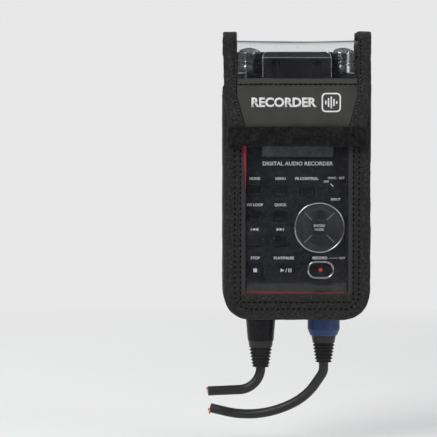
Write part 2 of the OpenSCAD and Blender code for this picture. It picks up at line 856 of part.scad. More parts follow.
module colour_ring() {
    top = right_boot_z - rec_z + 14.6;
    color("#2f4f9a") at_socket(1) difference() {
        rotate_extrude() polygon([
            [plug_r - 1.1, top], [ring_r - 0.6, top], [ring_r, top - 0.8], [ring_r, top - 10.4],
            [ring_r - 1.6, top - 14.2], [plug_r - 1.1, top - 14.5]
        ]);
        for (a = [0:30:330]) rotate(a) translate([ring_r + 1.25, 0, top - 11])
            cylinder(r = 1.4, h = 12);
    }
}

// Strain relief with raised ribs, from r0 at the plug to r1 at the lead.
module boot(r0, r1) {
    ribs = 6;
    pitch = 2.1;
    start = 4.4;
    function at(z) = r0 + (r1 - r0) * z / boot_len;
    outline = concat(
        [[lead_r + 0.05, 0], [r0, 0]],
        [for (i = [0:ribs - 1], p = [0, 0.7, 1, 1.7])
            [at(start + i * pitch) - (p == 0.7 || p == 1 ? 0.9 : 0), -start - i * pitch - p]],
        [[r1, -boot_len + 0.6], [r1 - 0.5, -boot_len], [lead_r + 0.05, -boot_len]]
    );
    rotate_extrude() polygon(outline);
}

// A lead from the local origin: each step is [radius, angle] for a bend or [0, length] for a straight.
module lead_path(steps, i = 0) {
    if (i < len(steps)) {
        r = steps[i][0];
        a = steps[i][1];
        if (r == 0) {
            // a hair thinner than the bends it runs into, so the two never lie tangent
            translate([0, 0, -a - 0.05]) cylinder(r = lead_r - 0.02, h = a + 0.1);
            translate([0, 0, -a]) lead_path(steps, i + 1);
        } else {
            translate([-r, 0, 0]) rotate([-90, 0, 0])
                rotate_extrude(angle = a) translate([r, 0]) circle(lead_r);
            translate([-r, 0, 0]) rotate([0, a, 0]) translate([r, 0, 0]) lead_path(steps, i + 1);
        }
    }
}

lead_inside = 8;

module lead_left() {
    color("#161617") at_socket(-1) translate([0, 0, left_boot_z - rec_z + lead_inside])
        rotate([0, 0, 4]) lead_path([[0, lead_inside + boot_len + 0.5], [14, 88], [0, 20]]);
}

module lead_right() {
    color("#161617") at_socket(1) translate([0, 0, right_boot_z - rec_z + lead_inside])
        rotate([0, 0, -12]) lead_path([
            [0, lead_inside + boot_len + 3.5], [8.5, 34], [0, 6.5], [40, 28], [0, 0.5],
            [66, 40], [0, 9]
        ]);
}

// ---- nodes ----

placed() front_casing();
placed() rear_casing();
placed() display_lens();
placed() display_panel();
placed() main_board();
placed() key_board();
placed() casing_screws();
placed() mic_bridge();
placed() mic_head(-1);  // mic_left
placed() mic_head(1);  // mic_right
placed() xlr_sockets();
placed() wheel_bezel();
placed() record_bezel();
placed() side_jacks();
placed() batteries();
placed() battery_contacts();
placed() speaker();
placed() xlr_release(-1);  // xlr_release_left
placed() xlr_release(1);  // xlr_release_right
placed() jog_wheel();
placed() enter_button();
placed() record_button();
placed() black_key(stop_key);  // stop_button
placed() black_key(play_key);  // play_button
placed() black_key(rewind_key);  // rewind_button
placed() black_key(forward_key);  // forward_button
placed() black_key(loop_key);  // loop_button
placed() black_key(quick_key);  // quick_button
placed() black_key(home_key);  // home_button
placed() black_key(menu_key);  // menu_button
placed() black_key(playback_key);  // playback_button
placed() input_selector();
placed() level_dial_outer();
placed() level_dial_inner();
placed() volume_dial();
placed() hold_switch();
placed() card_door();
placed() memory_card();
placed() battery_door();
placed() pouch_shell();
placed() pouch_lining();
placed() front_panel();
placed() window_film();
placed() window_binding();
placed() edge_binding();
placed() front_loop_strip();
placed() belt_loop();
placed() flap_frame();
placed() flap_window();
placed() flap_panel();
placed() flap_band();
placed() flap_hook_strip();
placed() plug_left();
placed() at_socket(-1)  // boot_left
    translate([0, 0, left_boot_z - rec_z]) color("#1d1d1e") boot(7.9, 5.2);
placed() lead_left();
placed() plug_right();
placed() colour_ring();
placed() at_socket(1)  // boot_right
    translate([0, 0, right_boot_z - rec_z]) color("#1d1d1e") boot(7.7, 5);
placed() lead_right();
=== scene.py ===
"""Looks for the field recorder in its belt pouch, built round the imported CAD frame."""

import json
import random
from math import copysign, cos, exp, hypot, pi, radians, sin, tau

import bmesh
import bpy
from mathutils import Matrix, Vector, bvhtree, kdtree, noise


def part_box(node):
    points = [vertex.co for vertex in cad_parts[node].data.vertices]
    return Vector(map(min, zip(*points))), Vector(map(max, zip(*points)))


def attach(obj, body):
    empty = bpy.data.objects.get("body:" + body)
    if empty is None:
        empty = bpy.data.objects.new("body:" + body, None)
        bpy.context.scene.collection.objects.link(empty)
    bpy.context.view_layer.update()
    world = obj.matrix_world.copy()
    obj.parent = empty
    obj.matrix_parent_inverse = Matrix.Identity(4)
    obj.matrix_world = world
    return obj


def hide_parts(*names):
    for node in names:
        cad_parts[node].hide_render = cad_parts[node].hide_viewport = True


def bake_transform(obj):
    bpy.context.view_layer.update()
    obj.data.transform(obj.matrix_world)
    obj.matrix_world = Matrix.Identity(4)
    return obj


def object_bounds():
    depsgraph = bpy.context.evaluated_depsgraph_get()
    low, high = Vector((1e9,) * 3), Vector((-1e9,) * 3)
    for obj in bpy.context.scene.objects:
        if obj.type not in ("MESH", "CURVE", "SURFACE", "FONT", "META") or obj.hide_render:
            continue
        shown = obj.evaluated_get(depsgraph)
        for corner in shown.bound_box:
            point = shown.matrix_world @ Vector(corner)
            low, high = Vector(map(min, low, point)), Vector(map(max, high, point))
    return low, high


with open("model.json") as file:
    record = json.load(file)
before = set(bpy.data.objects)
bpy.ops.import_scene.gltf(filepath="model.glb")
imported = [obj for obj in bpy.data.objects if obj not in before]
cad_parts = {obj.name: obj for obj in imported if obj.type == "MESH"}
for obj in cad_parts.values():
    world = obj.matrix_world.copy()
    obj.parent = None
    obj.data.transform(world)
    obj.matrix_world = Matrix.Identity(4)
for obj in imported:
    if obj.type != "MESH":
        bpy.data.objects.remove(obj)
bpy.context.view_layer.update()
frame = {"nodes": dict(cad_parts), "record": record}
random.seed(11)

MM = 0.001
ROOT = "recorder_in_pouch"
FLAP = "flap"
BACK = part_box("pouch_shell")[1].y                 # outer face of the pouch's back
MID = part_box("front_casing")[0].z + 75 * MM       # the drawing's mid-height
FACE = (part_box("front_casing")[0].y - BACK) / MM  # recorder's front face, drawing millimetres
AXIS = FACE + 17.5                                # mid-depth of the recorder


def P(x, y, z):
    """A point given in the drawing's millimetres."""
    return Vector((x * MM, BACK + y * MM, MID + z * MM))


def plane(outline, y):
    """An outline in x and z, stood up at one depth."""
    return [P(x, y, z) for x, z in outline]


def span(node):
    """A node's low and high corner in the drawing's millimetres."""
    return [(p.x / MM, (p.y - BACK) / MM, (p.z - MID) / MM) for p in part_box(node)]


def steps(low, high, count):
    """Evenly spaced numbers, both ends included."""
    return [low + (high - low) * k / count for k in range(count + 1)]


def oval(wide, high, count):
    """A closed oval outline."""
    return [(wide * cos(tau * k / count), high * sin(tau * k / count)) for k in range(count)]


def scaled(color, share, add=0.0):
    return tuple(min(1, c * share + add) for c in color)


# ---------------------------------------------------------------- materials

class Nodes:
    """A small builder for a material in object coordinates, which are metres, or for the world."""

    def __init__(self, name, world=False):
        self.owner = (bpy.data.worlds if world else bpy.data.materials).new(name)
        self.owner.use_nodes = True
        self.tree = self.owner.node_tree
        self.tree.nodes.clear()
        self.out = self.new("ShaderNodeOutput" + ("World" if world else "Material"))
        self.coord = self.new("ShaderNodeTexCoord").outputs["Generated" if world else "Object"]

    def new(self, kind, **props):
        node = self.tree.nodes.new(kind)
        for key, value in props.items():
            setattr(node, key, value)
        return node

    def link(self, source, target):
        self.tree.links.new(source, target)

    def put(self, socket, value):
        if hasattr(value, "is_output"):
            self.link(value, socket)
        else:
            socket.default_value = value

    def noise(self, scale, detail=3, rough=0.6, stretch=None):
        node = self.new("ShaderNodeTexNoise")
        self.put(node.inputs["Scale"], scale)
        self.put(node.inputs["Detail"], detail)
        self.put(node.inputs["Roughness"], rough)
        self.link(self.stretched(stretch), node.inputs["Vector"])
        return node.outputs["Fac"]

    def cells(self, scale, feature="F1", stretch=None):
        node = self.new("ShaderNodeTexVoronoi", feature=feature)
        self.put(node.inputs["Scale"], scale)
        self.link(self.stretched(stretch), node.inputs["Vector"])
        return node.outputs["Distance"]

    def stretched(self, stretch):
        if stretch is None:
            return self.coord
        node = self.new("ShaderNodeMapping")
        node.inputs["Scale"].default_value = stretch
        self.link(self.coord, node.inputs["Vector"])
        return node.outputs["Vector"]

    def xyz(self):
        node = self.new("ShaderNodeSeparateXYZ")
        self.link(self.coord, node.inputs[0])
        return node.outputs

    def math(self, op, a, b=0.0):
        node = self.new("ShaderNodeMath", operation=op)
        self.put(node.inputs[0], a)
        self.put(node.inputs[1], b)
        return node.outputs[0]

    def times(self, a, b):
        return self.math("MULTIPLY", a, b)

    def plus(self, a, b):
        return self.math("ADD", a, b)

    def ramp(self, value, low, high, out_low=0.0, out_high=1.0):
        node = self.new("ShaderNodeMapRange")
        for socket, number in zip(node.inputs[1:5], (low, high, out_low, out_high)):
            socket.default_value = number
        self.put(node.inputs[0], value)
        return node.outputs[0]

    def mix(self, fac, a, b):
        node = self.new("ShaderNodeMix", data_type="RGBA")
        self.put(node.inputs[0], fac)
        for socket, value in ((node.inputs[6], a), (node.inputs[7], b)):
            self.put(socket, value if hasattr(value, "is_output") else (*value, 1.0))
        return node.outputs[2]

    def weave(self, pitch):
        """Over-and-under threads of a given pitch in millimetres, on any face along the axes."""
        k = tau / (pitch * MM)
        x, y, z = [self.math("SINE", self.times(part, k)) for part in self.xyz()]
        pairs = [self.times(a, b) for a, b in ((x, z), (y, z), (x, y))]
        return self.plus(self.plus(pairs[0], pairs[1]), pairs[2])

    def bump(self, height, distance, strength=1.0, normal=None):
        node = self.new("ShaderNodeBump")
        self.put(node.inputs["Strength"], strength)
        self.put(node.inputs["Distance"], distance * MM)
        self.link(height, node.inputs["Height"])
        if normal is not None:
            self.link(normal, node.inputs["Normal"])
        return node.outputs["Normal"]

    def rounded(self, radius):
        node = self.new("ShaderNodeBevel", samples=4)
        node.inputs["Radius"].default_value = radius * MM
        return node.outputs["Normal"]

    def blend(self, share, a, b):
        """Mixes two shaders."""
        node = self.new("ShaderNodeMixShader")
        for socket, value in zip(node.inputs, (share, a, b)):
            self.link(value, socket)
        return node.outputs[0]

    def shader(self, kind, **values):
        """A shader node's output; an underscore in a name stands for a space."""
        node = self.new("ShaderNode" + kind)
        for key, value in values.items():
            if isinstance(value, tuple) and len(value) == 3:
                value = (*value, 1.0)
            self.put(node.inputs[key.replace("_", " ")], value)
        return node.outputs[0]

    def surface(self, **values):
        """Ends the material with one Principled shader."""
        return self.done(self.shader("BsdfPrincipled", **values))

    def done(self, shader):
        self.link(shader, self.out.inputs[0])
        return self.owner


def plastic(name, color, rough=0.45, grain=2600, depth=0.03, bevel=0.25, wear=0.5, shine=0.5):
    """Moulded plastic: fine spark grain, hand-worn sheen patches, faint dust and rubbed edges."""
    m = Nodes(name)
    patches = m.noise(55, 4)
    edge = m.ramp(m.new("ShaderNodeNewGeometry").outputs["Pointiness"], 0.52, 0.6)
    rub = m.times(edge, m.ramp(m.noise(420, 3), 0.35, 0.7, 0, wear))
    dust = m.ramp(m.noise(1900, 2), 0.66, 0.78, 0, 0.25)
    pale = scaled(color, 2.6, 0.03)
    tone = m.mix(m.ramp(patches, 0.3, 0.7), color, scaled(color, 1.25, 0.002))
    tone = m.mix(dust, tone, pale)
    tone = m.mix(rub, tone, pale)
    gloss = m.ramp(patches, 0.3, 0.7, rough - 0.08, rough + 0.1)
    normal = m.bump(m.noise(grain, 2), depth, 0.5, m.rounded(bevel))
    return m.surface(Base_Color=tone, Roughness=gloss, Normal=normal, Specular_IOR_Level=shine)


def metal(name, color, rough=0.25, brushed=None, bevel=0.15):
    m = Nodes(name)
    smudge = m.noise(120, 4)
    lines = m.noise(900, 2, stretch=brushed or (1, 1, 1))
    gloss = m.ramp(m.times(smudge, lines), 0.15, 0.4, rough - 0.08, rough + 0.14)
    tone = m.mix(smudge, color, scaled(color, 0.82))
    normal = m.bump(lines, 0.01, 0.35, m.rounded(bevel))
    return m.surface(Base_Color=tone, Metallic=1.0, Roughness=gloss, Normal=normal)


def felt(name, color, fleck, scale=1500, depth=0.28, sheen=0.35):
    """Brushed nap: tangled fibres as stretched noise at two scales, light flecks, worn patches."""
    m = Nodes(name)
    tangle = m.noise(scale, 6, 0.78)
    curls = m.cells(scale * 0.55, "SMOOTH_F1")
    clumps = m.noise(scale * 0.42, 4, 0.7)
    patches = m.noise(45, 3)
    height = m.plus(tangle, m.times(curls, 0.6))
    height = m.plus(height, m.times(clumps, 1.2))
    tone = m.mix(m.ramp(patches, 0.3, 0.7), color, scaled(color, 1.5))
    tone = m.mix(m.ramp(clumps, 0.36, 0.64), scaled(color, 0.3), tone)
    tone = m.mix(m.ramp(tangle, 0.5, 0.7, 0, 0.8), tone, fleck)
    tone = m.mix(m.ramp(clumps, 0.56, 0.7, 0, 0.5), tone, fleck)
    tone = m.mix(m.ramp(curls, 0.3, 0.75, 0, 0.5), tone, scaled(color, 0.35))
    return m.surface(Base_Color=tone, Roughness=0.95, Sheen_Weight=sheen, Sheen_Roughness=0.6,
                     Normal=m.bump(height, depth, 0.9))


def woven(name, color, pitch=0.8, depth=0.12, rough=0.85, sheen=0.2, contrast=0.6, shine=0.5):
    m = Nodes(name)
    weave = m.weave(pitch)
    patches = m.noise(70, 4)
    slub = m.noise(1100, 4)
    tone = m.mix(m.ramp(weave, -0.8, 0.8), scaled(color, contrast), color)
    tone = m.mix(m.ramp(patches, 0.35, 0.75, 0, 0.6), tone, scaled(color, 1.5))
    tone = m.mix(m.ramp(slub, 0.6, 0.8, 0, 0.4), tone, scaled(color, 1.9, 0.01))
    height = m.plus(weave, m.times(slub, 0.8))
    return m.surface(Base_Color=tone, Roughness=rough, Sheen_Weight=sheen,
                     Specular_IOR_Level=shine, Normal=m.bump(height, depth, 0.8))


def rubber(name, color, rough=0.55):
    m = Nodes(name)
    bloom = m.noise(90, 4)
    fine = m.noise(3200, 3)
    tone = m.mix(m.ramp(bloom, 0.35, 0.7), color, scaled(color, 1.7, 0.004))
    tone = m.mix(m.ramp(fine, 0.66, 0.8, 0, 0.3), tone, (0.16, 0.155, 0.15))
    gloss = m.ramp(bloom, 0.3, 0.7, rough - 0.1, rough + 0.12)
    return m.surface(Base_Color=tone, Roughness=gloss,
                     Normal=m.bump(fine, 0.03, 0.5, m.rounded(0.2)))


def film(name, haze=0.008, gloss=0.08, scratches=0.16):
    """Clear soft vinyl: mostly see-through, with glints, haze patches and hairline scratches."""
    m = Nodes(name)
    ripple = m.noise(38, 3)
    cloudy = m.noise(28, 4)
    line_a = m.ramp(m.noise(300, 1, stretch=(1, 1, 0.045)), 0.735, 0.75)
    line_b = m.ramp(m.noise(260, 1, stretch=(0.05, 1, 1)), 0.745, 0.76)
    lines = m.times(m.math("MAXIMUM", line_a, line_b), scratches)
    normal = m.bump(ripple, 0.7, 0.5)
    shine = m.shader("BsdfPrincipled", Base_Color=(0.9, 0.92, 0.93), Roughness=0.12,
                     Normal=normal, Specular_IOR_Level=0.8)
    rim = m.new("ShaderNodeLayerWeight")
    rim.inputs["Blend"].default_value = 0.25
    slant = m.ramp(rim.outputs["Facing"], 0.25, 0.8)
    clear = m.shader("BsdfTransparent", Color=m.mix(slant, (0.965, 0.97, 0.975), (0.5, 0.5, 0.51)))
    amount = m.times(rim.outputs["Fresnel"], gloss)
    amount = m.plus(amount, m.ramp(cloudy, 0.45, 0.8, 0.001, haze))
    amount = m.math("MINIMUM", m.plus(amount, m.times(lines, 0.35)), 0.9)
    coat = m.math("MINIMUM", m.plus(m.times(rim.outputs["Fresnel"], 0.3), 0.02), 0.1)
    glint = m.shader("BsdfGlossy", Roughness=0.1, Normal=normal)
    return m.done(m.blend(coat, m.blend(amount, clear, shine), glint))


def ink(name, color, rough=0.5):
    m = Nodes(name)
    thin = m.ramp(m.noise(1500, 3), 0.3, 0.7, 0.8, 1.0)
    tone = m.mix(thin, scaled(color, 0.6), color)
    return m.surface(Base_Color=tone, Roughness=rough, Normal=m.bump(m.noise(3500, 2), 0.01, 0.4))


def circuit(name, color):
    m = Nodes(name)
    tracks = m.ramp(m.cells(420, "DISTANCE_TO_EDGE"), 0.02, 0.05)
    tone = m.mix(tracks, scaled(color, 1.8), color)
    return m.surface(Base_Color=tone, Roughness=0.35,
                     Normal=m.bump(tracks, 0.02, 0.4, m.rounded(0.1)))


def turned_disc(name, color, rough=0.34):
    """Black disc with fine circular turning marks, which draws the light into radial fans."""
    m = Nodes(name)
    smudge = m.noise(90, 4)
    tangent = m.new("ShaderNodeTangent", direction_type="RADIAL", axis="Y").outputs[0]
    tone = m.mix(smudge, color, scaled(color, 1.5))
    gloss = m.ramp(smudge, 0.3, 0.7, rough - 0.05, rough + 0.08)
    normal = m.bump(m.noise(2600, 2), 0.008, 0.3, m.rounded(0.15))
    return m.surface(Base_Color=tone, Metallic=0.75, Roughness=gloss, Anisotropic=0.85,
                     Normal=normal, Tangent=tangent)


mats = {}


def add(kind, name, *args, **options):
    mats[name] = kind(name, *args, **options)


add(plastic, "casing_black", (0.0048, 0.0048, 0.0062), 0.42, bevel=0.5, shine=0.22)
add(plastic, "key_black", (0.0035, 0.0035, 0.0045), 0.3, grain=3000, depth=0.012, shine=0.3)
add(film, "lens_clear", haze=0.004, gloss=0.2, scratches=0.15)
add(plastic, "display_grey", (0.088, 0.089, 0.091), 0.4, grain=900, depth=0.005)
add(circuit, "board_blue", (0.01, 0.05, 0.16))
add(circuit, "board_green", (0.01, 0.09, 0.03))
add(metal, "steel", (0.45, 0.45, 0.46), 0.3)
add(metal, "chrome_trim", (0.72, 0.73, 0.74), 0.16, bevel=0.3)
add(metal, "mic_silver", (0.4, 0.4, 0.405), 0.2, (1, 1, 6))
add(plastic, "socket_plastic", (0.02, 0.02, 0.022), 0.4)
add(plastic, "cell_jacket", (0.4, 0.25, 0.05), 0.25, grain=400)
add(plastic, "speaker_black", (0.02,) * 3, 0.6)
add(plastic, "card_plastic", (0.02, 0.03, 0.09), 0.4)
add(felt, "pouch_cloth", (0.0105, 0.0105, 0.0107), (0.082, 0.081, 0.078), sheen=0.04)
add(woven, "lining_red", (0.36, 0.014, 0.034), 0.9, 0.1, sheen=0.05, contrast=0.45)
add(film, "film_clear")
add(woven, "binding_grey", (0.021, 0.021, 0.0212), 0.55, 0.05, rough=0.6, sheen=0.03)
add(woven, "webbing", (0.013, 0.013, 0.014), 1.5, 0.3, sheen=0.08)
add(felt, "loop_pile", (0.0042, 0.0042, 0.0052), (0.06, 0.059, 0.062), 900, 0.45, 0.02)
add(woven, "hook_tape", (0.012,) * 3, 1.3, 0.3, sheen=0.05)
add(woven, "panel_grey", (0.0345, 0.0345, 0.0322), 0.45, 0.025, 0.7, 0.02, 0.93)
add(metal, "plug_black", (0.026, 0.026, 0.028), 0.34)
add(plastic, "ring_blue", (0.009, 0.033, 0.125), 0.42, bevel=0.4, wear=0.35)
add(rubber, "boot_rubber", (0.0065, 0.0065, 0.007), 0.45)
add(rubber, "lead_jacket", (0.010, 0.010, 0.0105), 0.45)
add(metal, "bright_chrome", (0.8, 0.81, 0.82), 0.1, bevel=0.1)
add(turned_disc, "disc_black", (0.05, 0.05, 0.053))
add(plastic, "enter_black", (0.017, 0.017, 0.018), 0.35, grain=3000, depth=0.01)
# near-black stitching thread with almost no shine: partly the thread's own dark colour, partly
# painted shade of the holes it sinks into
add(woven, "thread", (0.0028, 0.0028, 0.0029), 0.3, 0.03, 0.9, 0.0, shine=0.08)
add(woven, "thread_light", (0.05,) * 3, 0.3, 0.03, 0.6)
add(ink, "print_white", (0.82, 0.83, 0.84))
add(ink, "flap_white", (0.86, 0.86, 0.85), 0.65)
# pale grey for the lines in the wheel's grooves: a painted highlight
add(ink, "groove_grey", (0.15, 0.15, 0.155), 0.3)
add(ink, "print_red", (0.75, 0.06, 0.03))
add(metal, "copper", (0.72, 0.36, 0.2), 0.3)
add(rubber, "core_red", (0.5, 0.02, 0.02))
add(rubber, "core_white", (0.6, 0.6, 0.58))

slot_of = {s["node"]: s["material_slot"] for s in frame["record"]["subparts"]}
for node_name, node_object in frame["nodes"].items():
    node_object.data.materials.clear()
    node_object.data.materials.append(mats[slot_of[node_name]])
frame["nodes"]["jog_wheel"].data.materials[0] = mats["disc_black"]
frame["nodes"]["enter_button"].data.materials[0] = mats["enter_black"]


# ---------------------------------------------------------------- mesh helpers

OUT = Vector((0, -1, 0))
RIGHT = Vector((1, 0, 0))
UP = Vector((0, 0, 1))


class Shape:
    """Closed pieces of surface gathered into one mesh."""

    def __init__(self):
        self.verts = []
        self.faces = []

    def skin(self, rings, closed=False, caps=True):
        """Joins equal closed rings of points one to the next."""
        count, base, rows = len(rings[0]), len(self.verts), len(rings)
        for ring in rings:
            self.verts.extend(ring)
        for i in range(rows if closed else rows - 1):
            near, far = base + i * count, base + (i + 1) % rows * count
            for j in range(count):
                k = (j + 1) % count
                self.faces.append((near + j, near + k, far + k, far + j))
        if caps and not closed:
            self.faces.append(tuple(base + j for j in reversed(range(count))))
            self.faces.append(tuple(base + (rows - 1) * count + j for j in range(count)))

    def sweep(self, frames, profile, closed=False):
        """frames: (origin, side, up); profile: (along side, along up) in millimetres."""
        self.skin([[o + s * (a * MM) + u * (b * MM) for a, b in profile] for o, s, u in frames],
                  closed)

    def bead(self, at, along, up, length, width, height, sides=6):
        """A rounded grain, such as one stitch lying on cloth."""
        side = along.cross(up).normalized()
        rings = []
        for t, swell in ((-1, 0.3), (-0.72, 0.82), (0, 1), (0.72, 0.82), (1, 0.3)):
            centre = at + along * (t * length / 2 * MM) - up * ((1 - swell) * height / 3 * MM)
            rings.append([centre + side * (a * swell * MM) + up * (b * swell * MM)
                          for a, b in oval(width / 2, height / 2, sides)])
        self.skin(rings)

    def lathe(self, profile, origin, axis, side, sides=48):
        """Turns (radius, height) points, first and last on the axis, round an axis."""
        other = axis.cross(side)
        rings = []
        for r, h in profile:
            r = max(r, 0.02)
            rings.append([origin + axis * (h * MM) + side * (a * MM) + other * (b * MM)
                          for a, b in oval(r, r, sides)])
        self.skin(rings)

    def sheet(self, rows, thick, inward):
        """A grid of points given thickness along inward."""
        count, base = len(rows[0]), len(self.verts)
        flat = [p for row in rows for p in row]
        size = len(flat)
        self.verts += flat + [p + inward * (thick * MM) for p in flat]

        def at(i, j, under=0):
            return base + i * count + j + under * size

        for i in range(len(rows) - 1):
            for j in range(count - 1):
                quad = (at(i, j), at(i, j + 1), at(i + 1, j + 1), at(i + 1, j))
                self.faces.append(quad)
                self.faces.append(tuple(q + size for q in reversed(quad)))
        rim = [(0, j) for j in range(count)] + [(i, count - 1) for i in range(1, len(rows))]
        rim += [(len(rows) - 1, j) for j in reversed(range(count - 1))]
        rim += [(i, 0) for i in reversed(range(1, len(rows) - 1))]
        for a, b in zip(rim, rim[1:] + rim[:1]):
            self.faces.append((at(*b), at(*a), at(*a, 1), at(*b, 1)))

    def build(self, name, smooth=40):
        me = bpy.data.meshes.new(name)
        me.from_pydata([tuple(v) for v in self.verts], [], self.faces)
        me.validate()
        ob = bpy.data.objects.new(name, me)
        bpy.context.scene.collection.objects.link(ob)
        tidy_mesh(ob, smooth)
        return ob


def tidy_mesh(ob, smooth=40):
    bm = bmesh.new()
    bm.from_mesh(ob.data)
    bmesh.ops.recalc_face_normals(bm, faces=bm.faces)
    limit = radians(smooth)
    for face in bm.faces:
        face.smooth = True
    for edge in bm.edges:
        edge.smooth = len(edge.link_faces) != 2 or edge.calc_face_angle(0) < limit
    bm.to_mesh(ob.data)
    bm.free()


def weld(ob, gap):
    """Merges the vertices closer together than gap, in metres, and turns the faces outward."""
    bm = bmesh.new()
    bm.from_mesh(ob.data)
    bmesh.ops.remove_doubles(bm, verts=bm.verts, dist=gap)
    bmesh.ops.recalc_face_normals(bm, faces=bm.faces)
    bm.to_mesh(ob.data)
    bm.free()


def bake(ob):
    """Replaces an object's mesh by its evaluated one, and drops its modifiers."""
    graph = bpy.context.evaluated_depsgraph_get()
    made = bpy.data.meshes.new_from_object(ob.evaluated_get(graph), depsgraph=graph)
    ob.modifiers.clear()
    ob.data = made


def piece(ob, material, body=ROOT, slot=None, stands_for=()):
    ob.data.materials.clear()
    ob.data.materials.append(mats[material])
    if body:
        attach(ob, body)
    if stands_for:
        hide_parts(*stands_for)
    return ob


def subdivide(ob):
    mod = ob.modifiers.new("subdiv", "SUBSURF")
    mod.levels = mod.render_levels = 1
    bake(ob)


def jitter(ob, *layers):
    """Moves vertices along their normals by seeded noise: (size of a wave, height) in mm."""
    me = ob.data
    normals = [v.normal.copy() for v in me.vertices]
    for v, n in zip(me.vertices, normals):
        shift = sum(noise.noise(v.co / (size * MM)) * height * MM for size, height in layers)
        v.co += n * shift
    me.update()


def groove(ob, paths, width, depth, up):
    """Presses the stitch lines into a soft piece, on the side that faces up."""
    points = [p for path in paths for p in densify(path, 0.3)]
    tree = kdtree.KDTree(len(points))
    for k, p in enumerate(points):
        tree.insert(p - up * p.dot(up), k)
    tree.balance()
    me = ob.data
    for v, n in zip(me.vertices, [v.normal.copy() for v in me.vertices]):
        away = tree.find(v.co - up * v.co.dot(up))[2] / MM
        if n.dot(up) > 0.3 and away < width:
            v.co -= up * (depth * (1 - (away / width) ** 2) * MM)
    me.update()


CLOTH_FRAMES = 14


def padded(name, node, voxel, pressure, cap, waves):
    """Copies a CAD solid, remeshes it, inflates it as cloth and returns the soft piece."""
    ob = bpy.data.objects.new(name, frame["nodes"][node].data.copy())
    bpy.context.scene.collection.objects.link(ob)
    weld(ob, 1e-6)
    mod = ob.modifiers.new("remesh", "REMESH")
    mod.mode = "VOXEL"
    mod.voxel_size = voxel * MM
    bake(ob)
    for poly in ob.data.polygons:
        poly.use_smooth = True
    rest = [v.co.copy() for v in ob.data.vertices]
    cloth = ob.modifiers.new("cloth", "CLOTH")
    settings = {"mass": 0.05, "tension_stiffness": 12, "compression_stiffness": 12,
                "bending_stiffness": 0.4, "use_pressure": True,
                "uniform_pressure_force": pressure}
    for key, value in settings.items():
        setattr(cloth.settings, key, value)
    cloth.settings.effector_weights.gravity = 0
    cloth.point_cache.frame_start, cloth.point_cache.frame_end = 1, CLOTH_FRAMES
    for number in range(1, CLOTH_FRAMES + 1):
        bpy.context.scene.frame_set(number)
    bake(ob)
    bpy.context.scene.frame_set(1)
    for v, start in zip(ob.data.vertices, rest):
        move = v.co - start
        if move.length > cap * MM:
            v.co = start + move.normalized() * cap * MM
    mod = ob.modifiers.new("smooth", "SMOOTH")
    mod.factor, mod.iterations = 0.5, 2
    bake(ob)
    subdivide(ob)
    jitter(ob, *waves)
    return ob


def tub(half, bottom, top, r, step=2.0):
    """Outline in x and z: down the left side, round the bottom and up the right."""
    rows = max(2, int((top - bottom - r) / step))
    turns = max(6, int(r * pi / 2 / step))
    cols = max(2, int(2 * (half - r) / step))
    points = [(-half, z) for z in steps(top, bottom + r, rows)[:-1]]
    points += [(-half + r + r * cos(a), bottom + r + r * sin(a))
               for a in steps(pi, 1.5 * pi, turns)[:-1]]
    points += [(x, bottom) for x in steps(-half + r, half - r, cols)[:-1]]
    points += [(half - r + r * cos(a), bottom + r + r * sin(a))
               for a in steps(-0.5 * pi, 0, turns)[:-1]]
    return points + [(half, z) for z in steps(bottom + r, top, rows)]


def rounded_box(cx, cz, w, h, r, turns=6):
    """Closed outline in x and z, counterclockwise."""
    points = []
    for sx, sz, start in ((1, 1, 0), (-1, 1, 90), (-1, -1, 180), (1, -1, 270)):
        for i in range(turns + 1):
            a = radians(start + 90 * i / turns)
            points.append((cx + sx * (w / 2 - r) + r * cos(a),
                           cz + sz * (h / 2 - r) + r * sin(a)))
    return points


def densify(points, step, closed=False):
    """Points every step along a polyline of vectors."""
    pts = list(points) + ([points[0]] if closed else [])
    made = []
    for a, b in zip(pts, pts[1:]):
        count = max(1, round((b - a).length / (step * MM)))
        made += [a.lerp(b, i / count) for i in range(count)]
    if not closed:
        made.append(pts[-1])
    return made


def facing(points, up, closed=False):
    """Frames (origin, side, up) along a path, side being across it."""
    frames, last = [], len(points) - 1
    for i, p in enumerate(points):
        before = points[i - 1] if i or closed else p
        after = points[(i + 1) % len(points)] if i < last or closed else p
        along = (after - before).normalized()
        frames.append((p, along.cross(up).normalized(), up))
    return frames


def swept(name, path, profile, material, waves, closed=False, rounder=True, **place):
    """A soft strip: a profile swept along a path facing the viewer, uneven by the waves."""
    shape = Shape()
    shape.sweep(facing(path, OUT, closed), profile, closed)
    ob = shape.build(name, 180)
    if rounder:
        subdivide(ob)
    jitter(ob, *waves)
    return piece(ob, material, **place)


def ripple(p, size, height, way):
    return p + way * (noise.noise(p / (size * MM)) * height * MM)


def thin_piece(name, rows, thick, inward, material, body=ROOT, node=None):
    """A single sheet that stands for one CAD node, or for none."""
    shape = Shape()
    shape.sheet(rows, thick, inward)
    return piece(shape.build(name, 60), material, body, stands_for=(node,) if node else ())


def surface_of(*pieces):
    """A function that drops a point onto the outermost surface of some pieces."""
    verts, polys = [], []
    for ob in pieces:
        base = len(verts)
        verts += [v.co.copy() for v in ob.data.vertices]
        polys += [[base + k for k in poly.vertices] for poly in ob.data.polygons]
    tree = bvhtree.BVHTree.FromPolygons(verts, polys)

    def drop(p, up):
        hit = tree.ray_cast(p + up * (8 * MM), -up, 12 * MM)[0]
        return hit or p

    return drop


def stitch_row(shape, points, up, pitch=2.2, length=1.4, width=0.72, height=0.5, closed=False,
               drop=None):
    """Stitches along a path, each lying on the surface whose normal is up."""
    walk = densify(points, 0.25, closed)
    travelled, due = 0.0, pitch * MM / 2
    for a, b in zip(walk, walk[1:]):
        travelled += (b - a).length
        if travelled >= due:
            due += pitch * MM
            along = (b - a).normalized()
            wander = along.cross(up) * random.uniform(-0.06, 0.06) * MM
            at = a + wander
            if drop:
                at = drop(at, up) + up * (0.06 * MM)
            shape.bead(at, along, up, length, width, height)


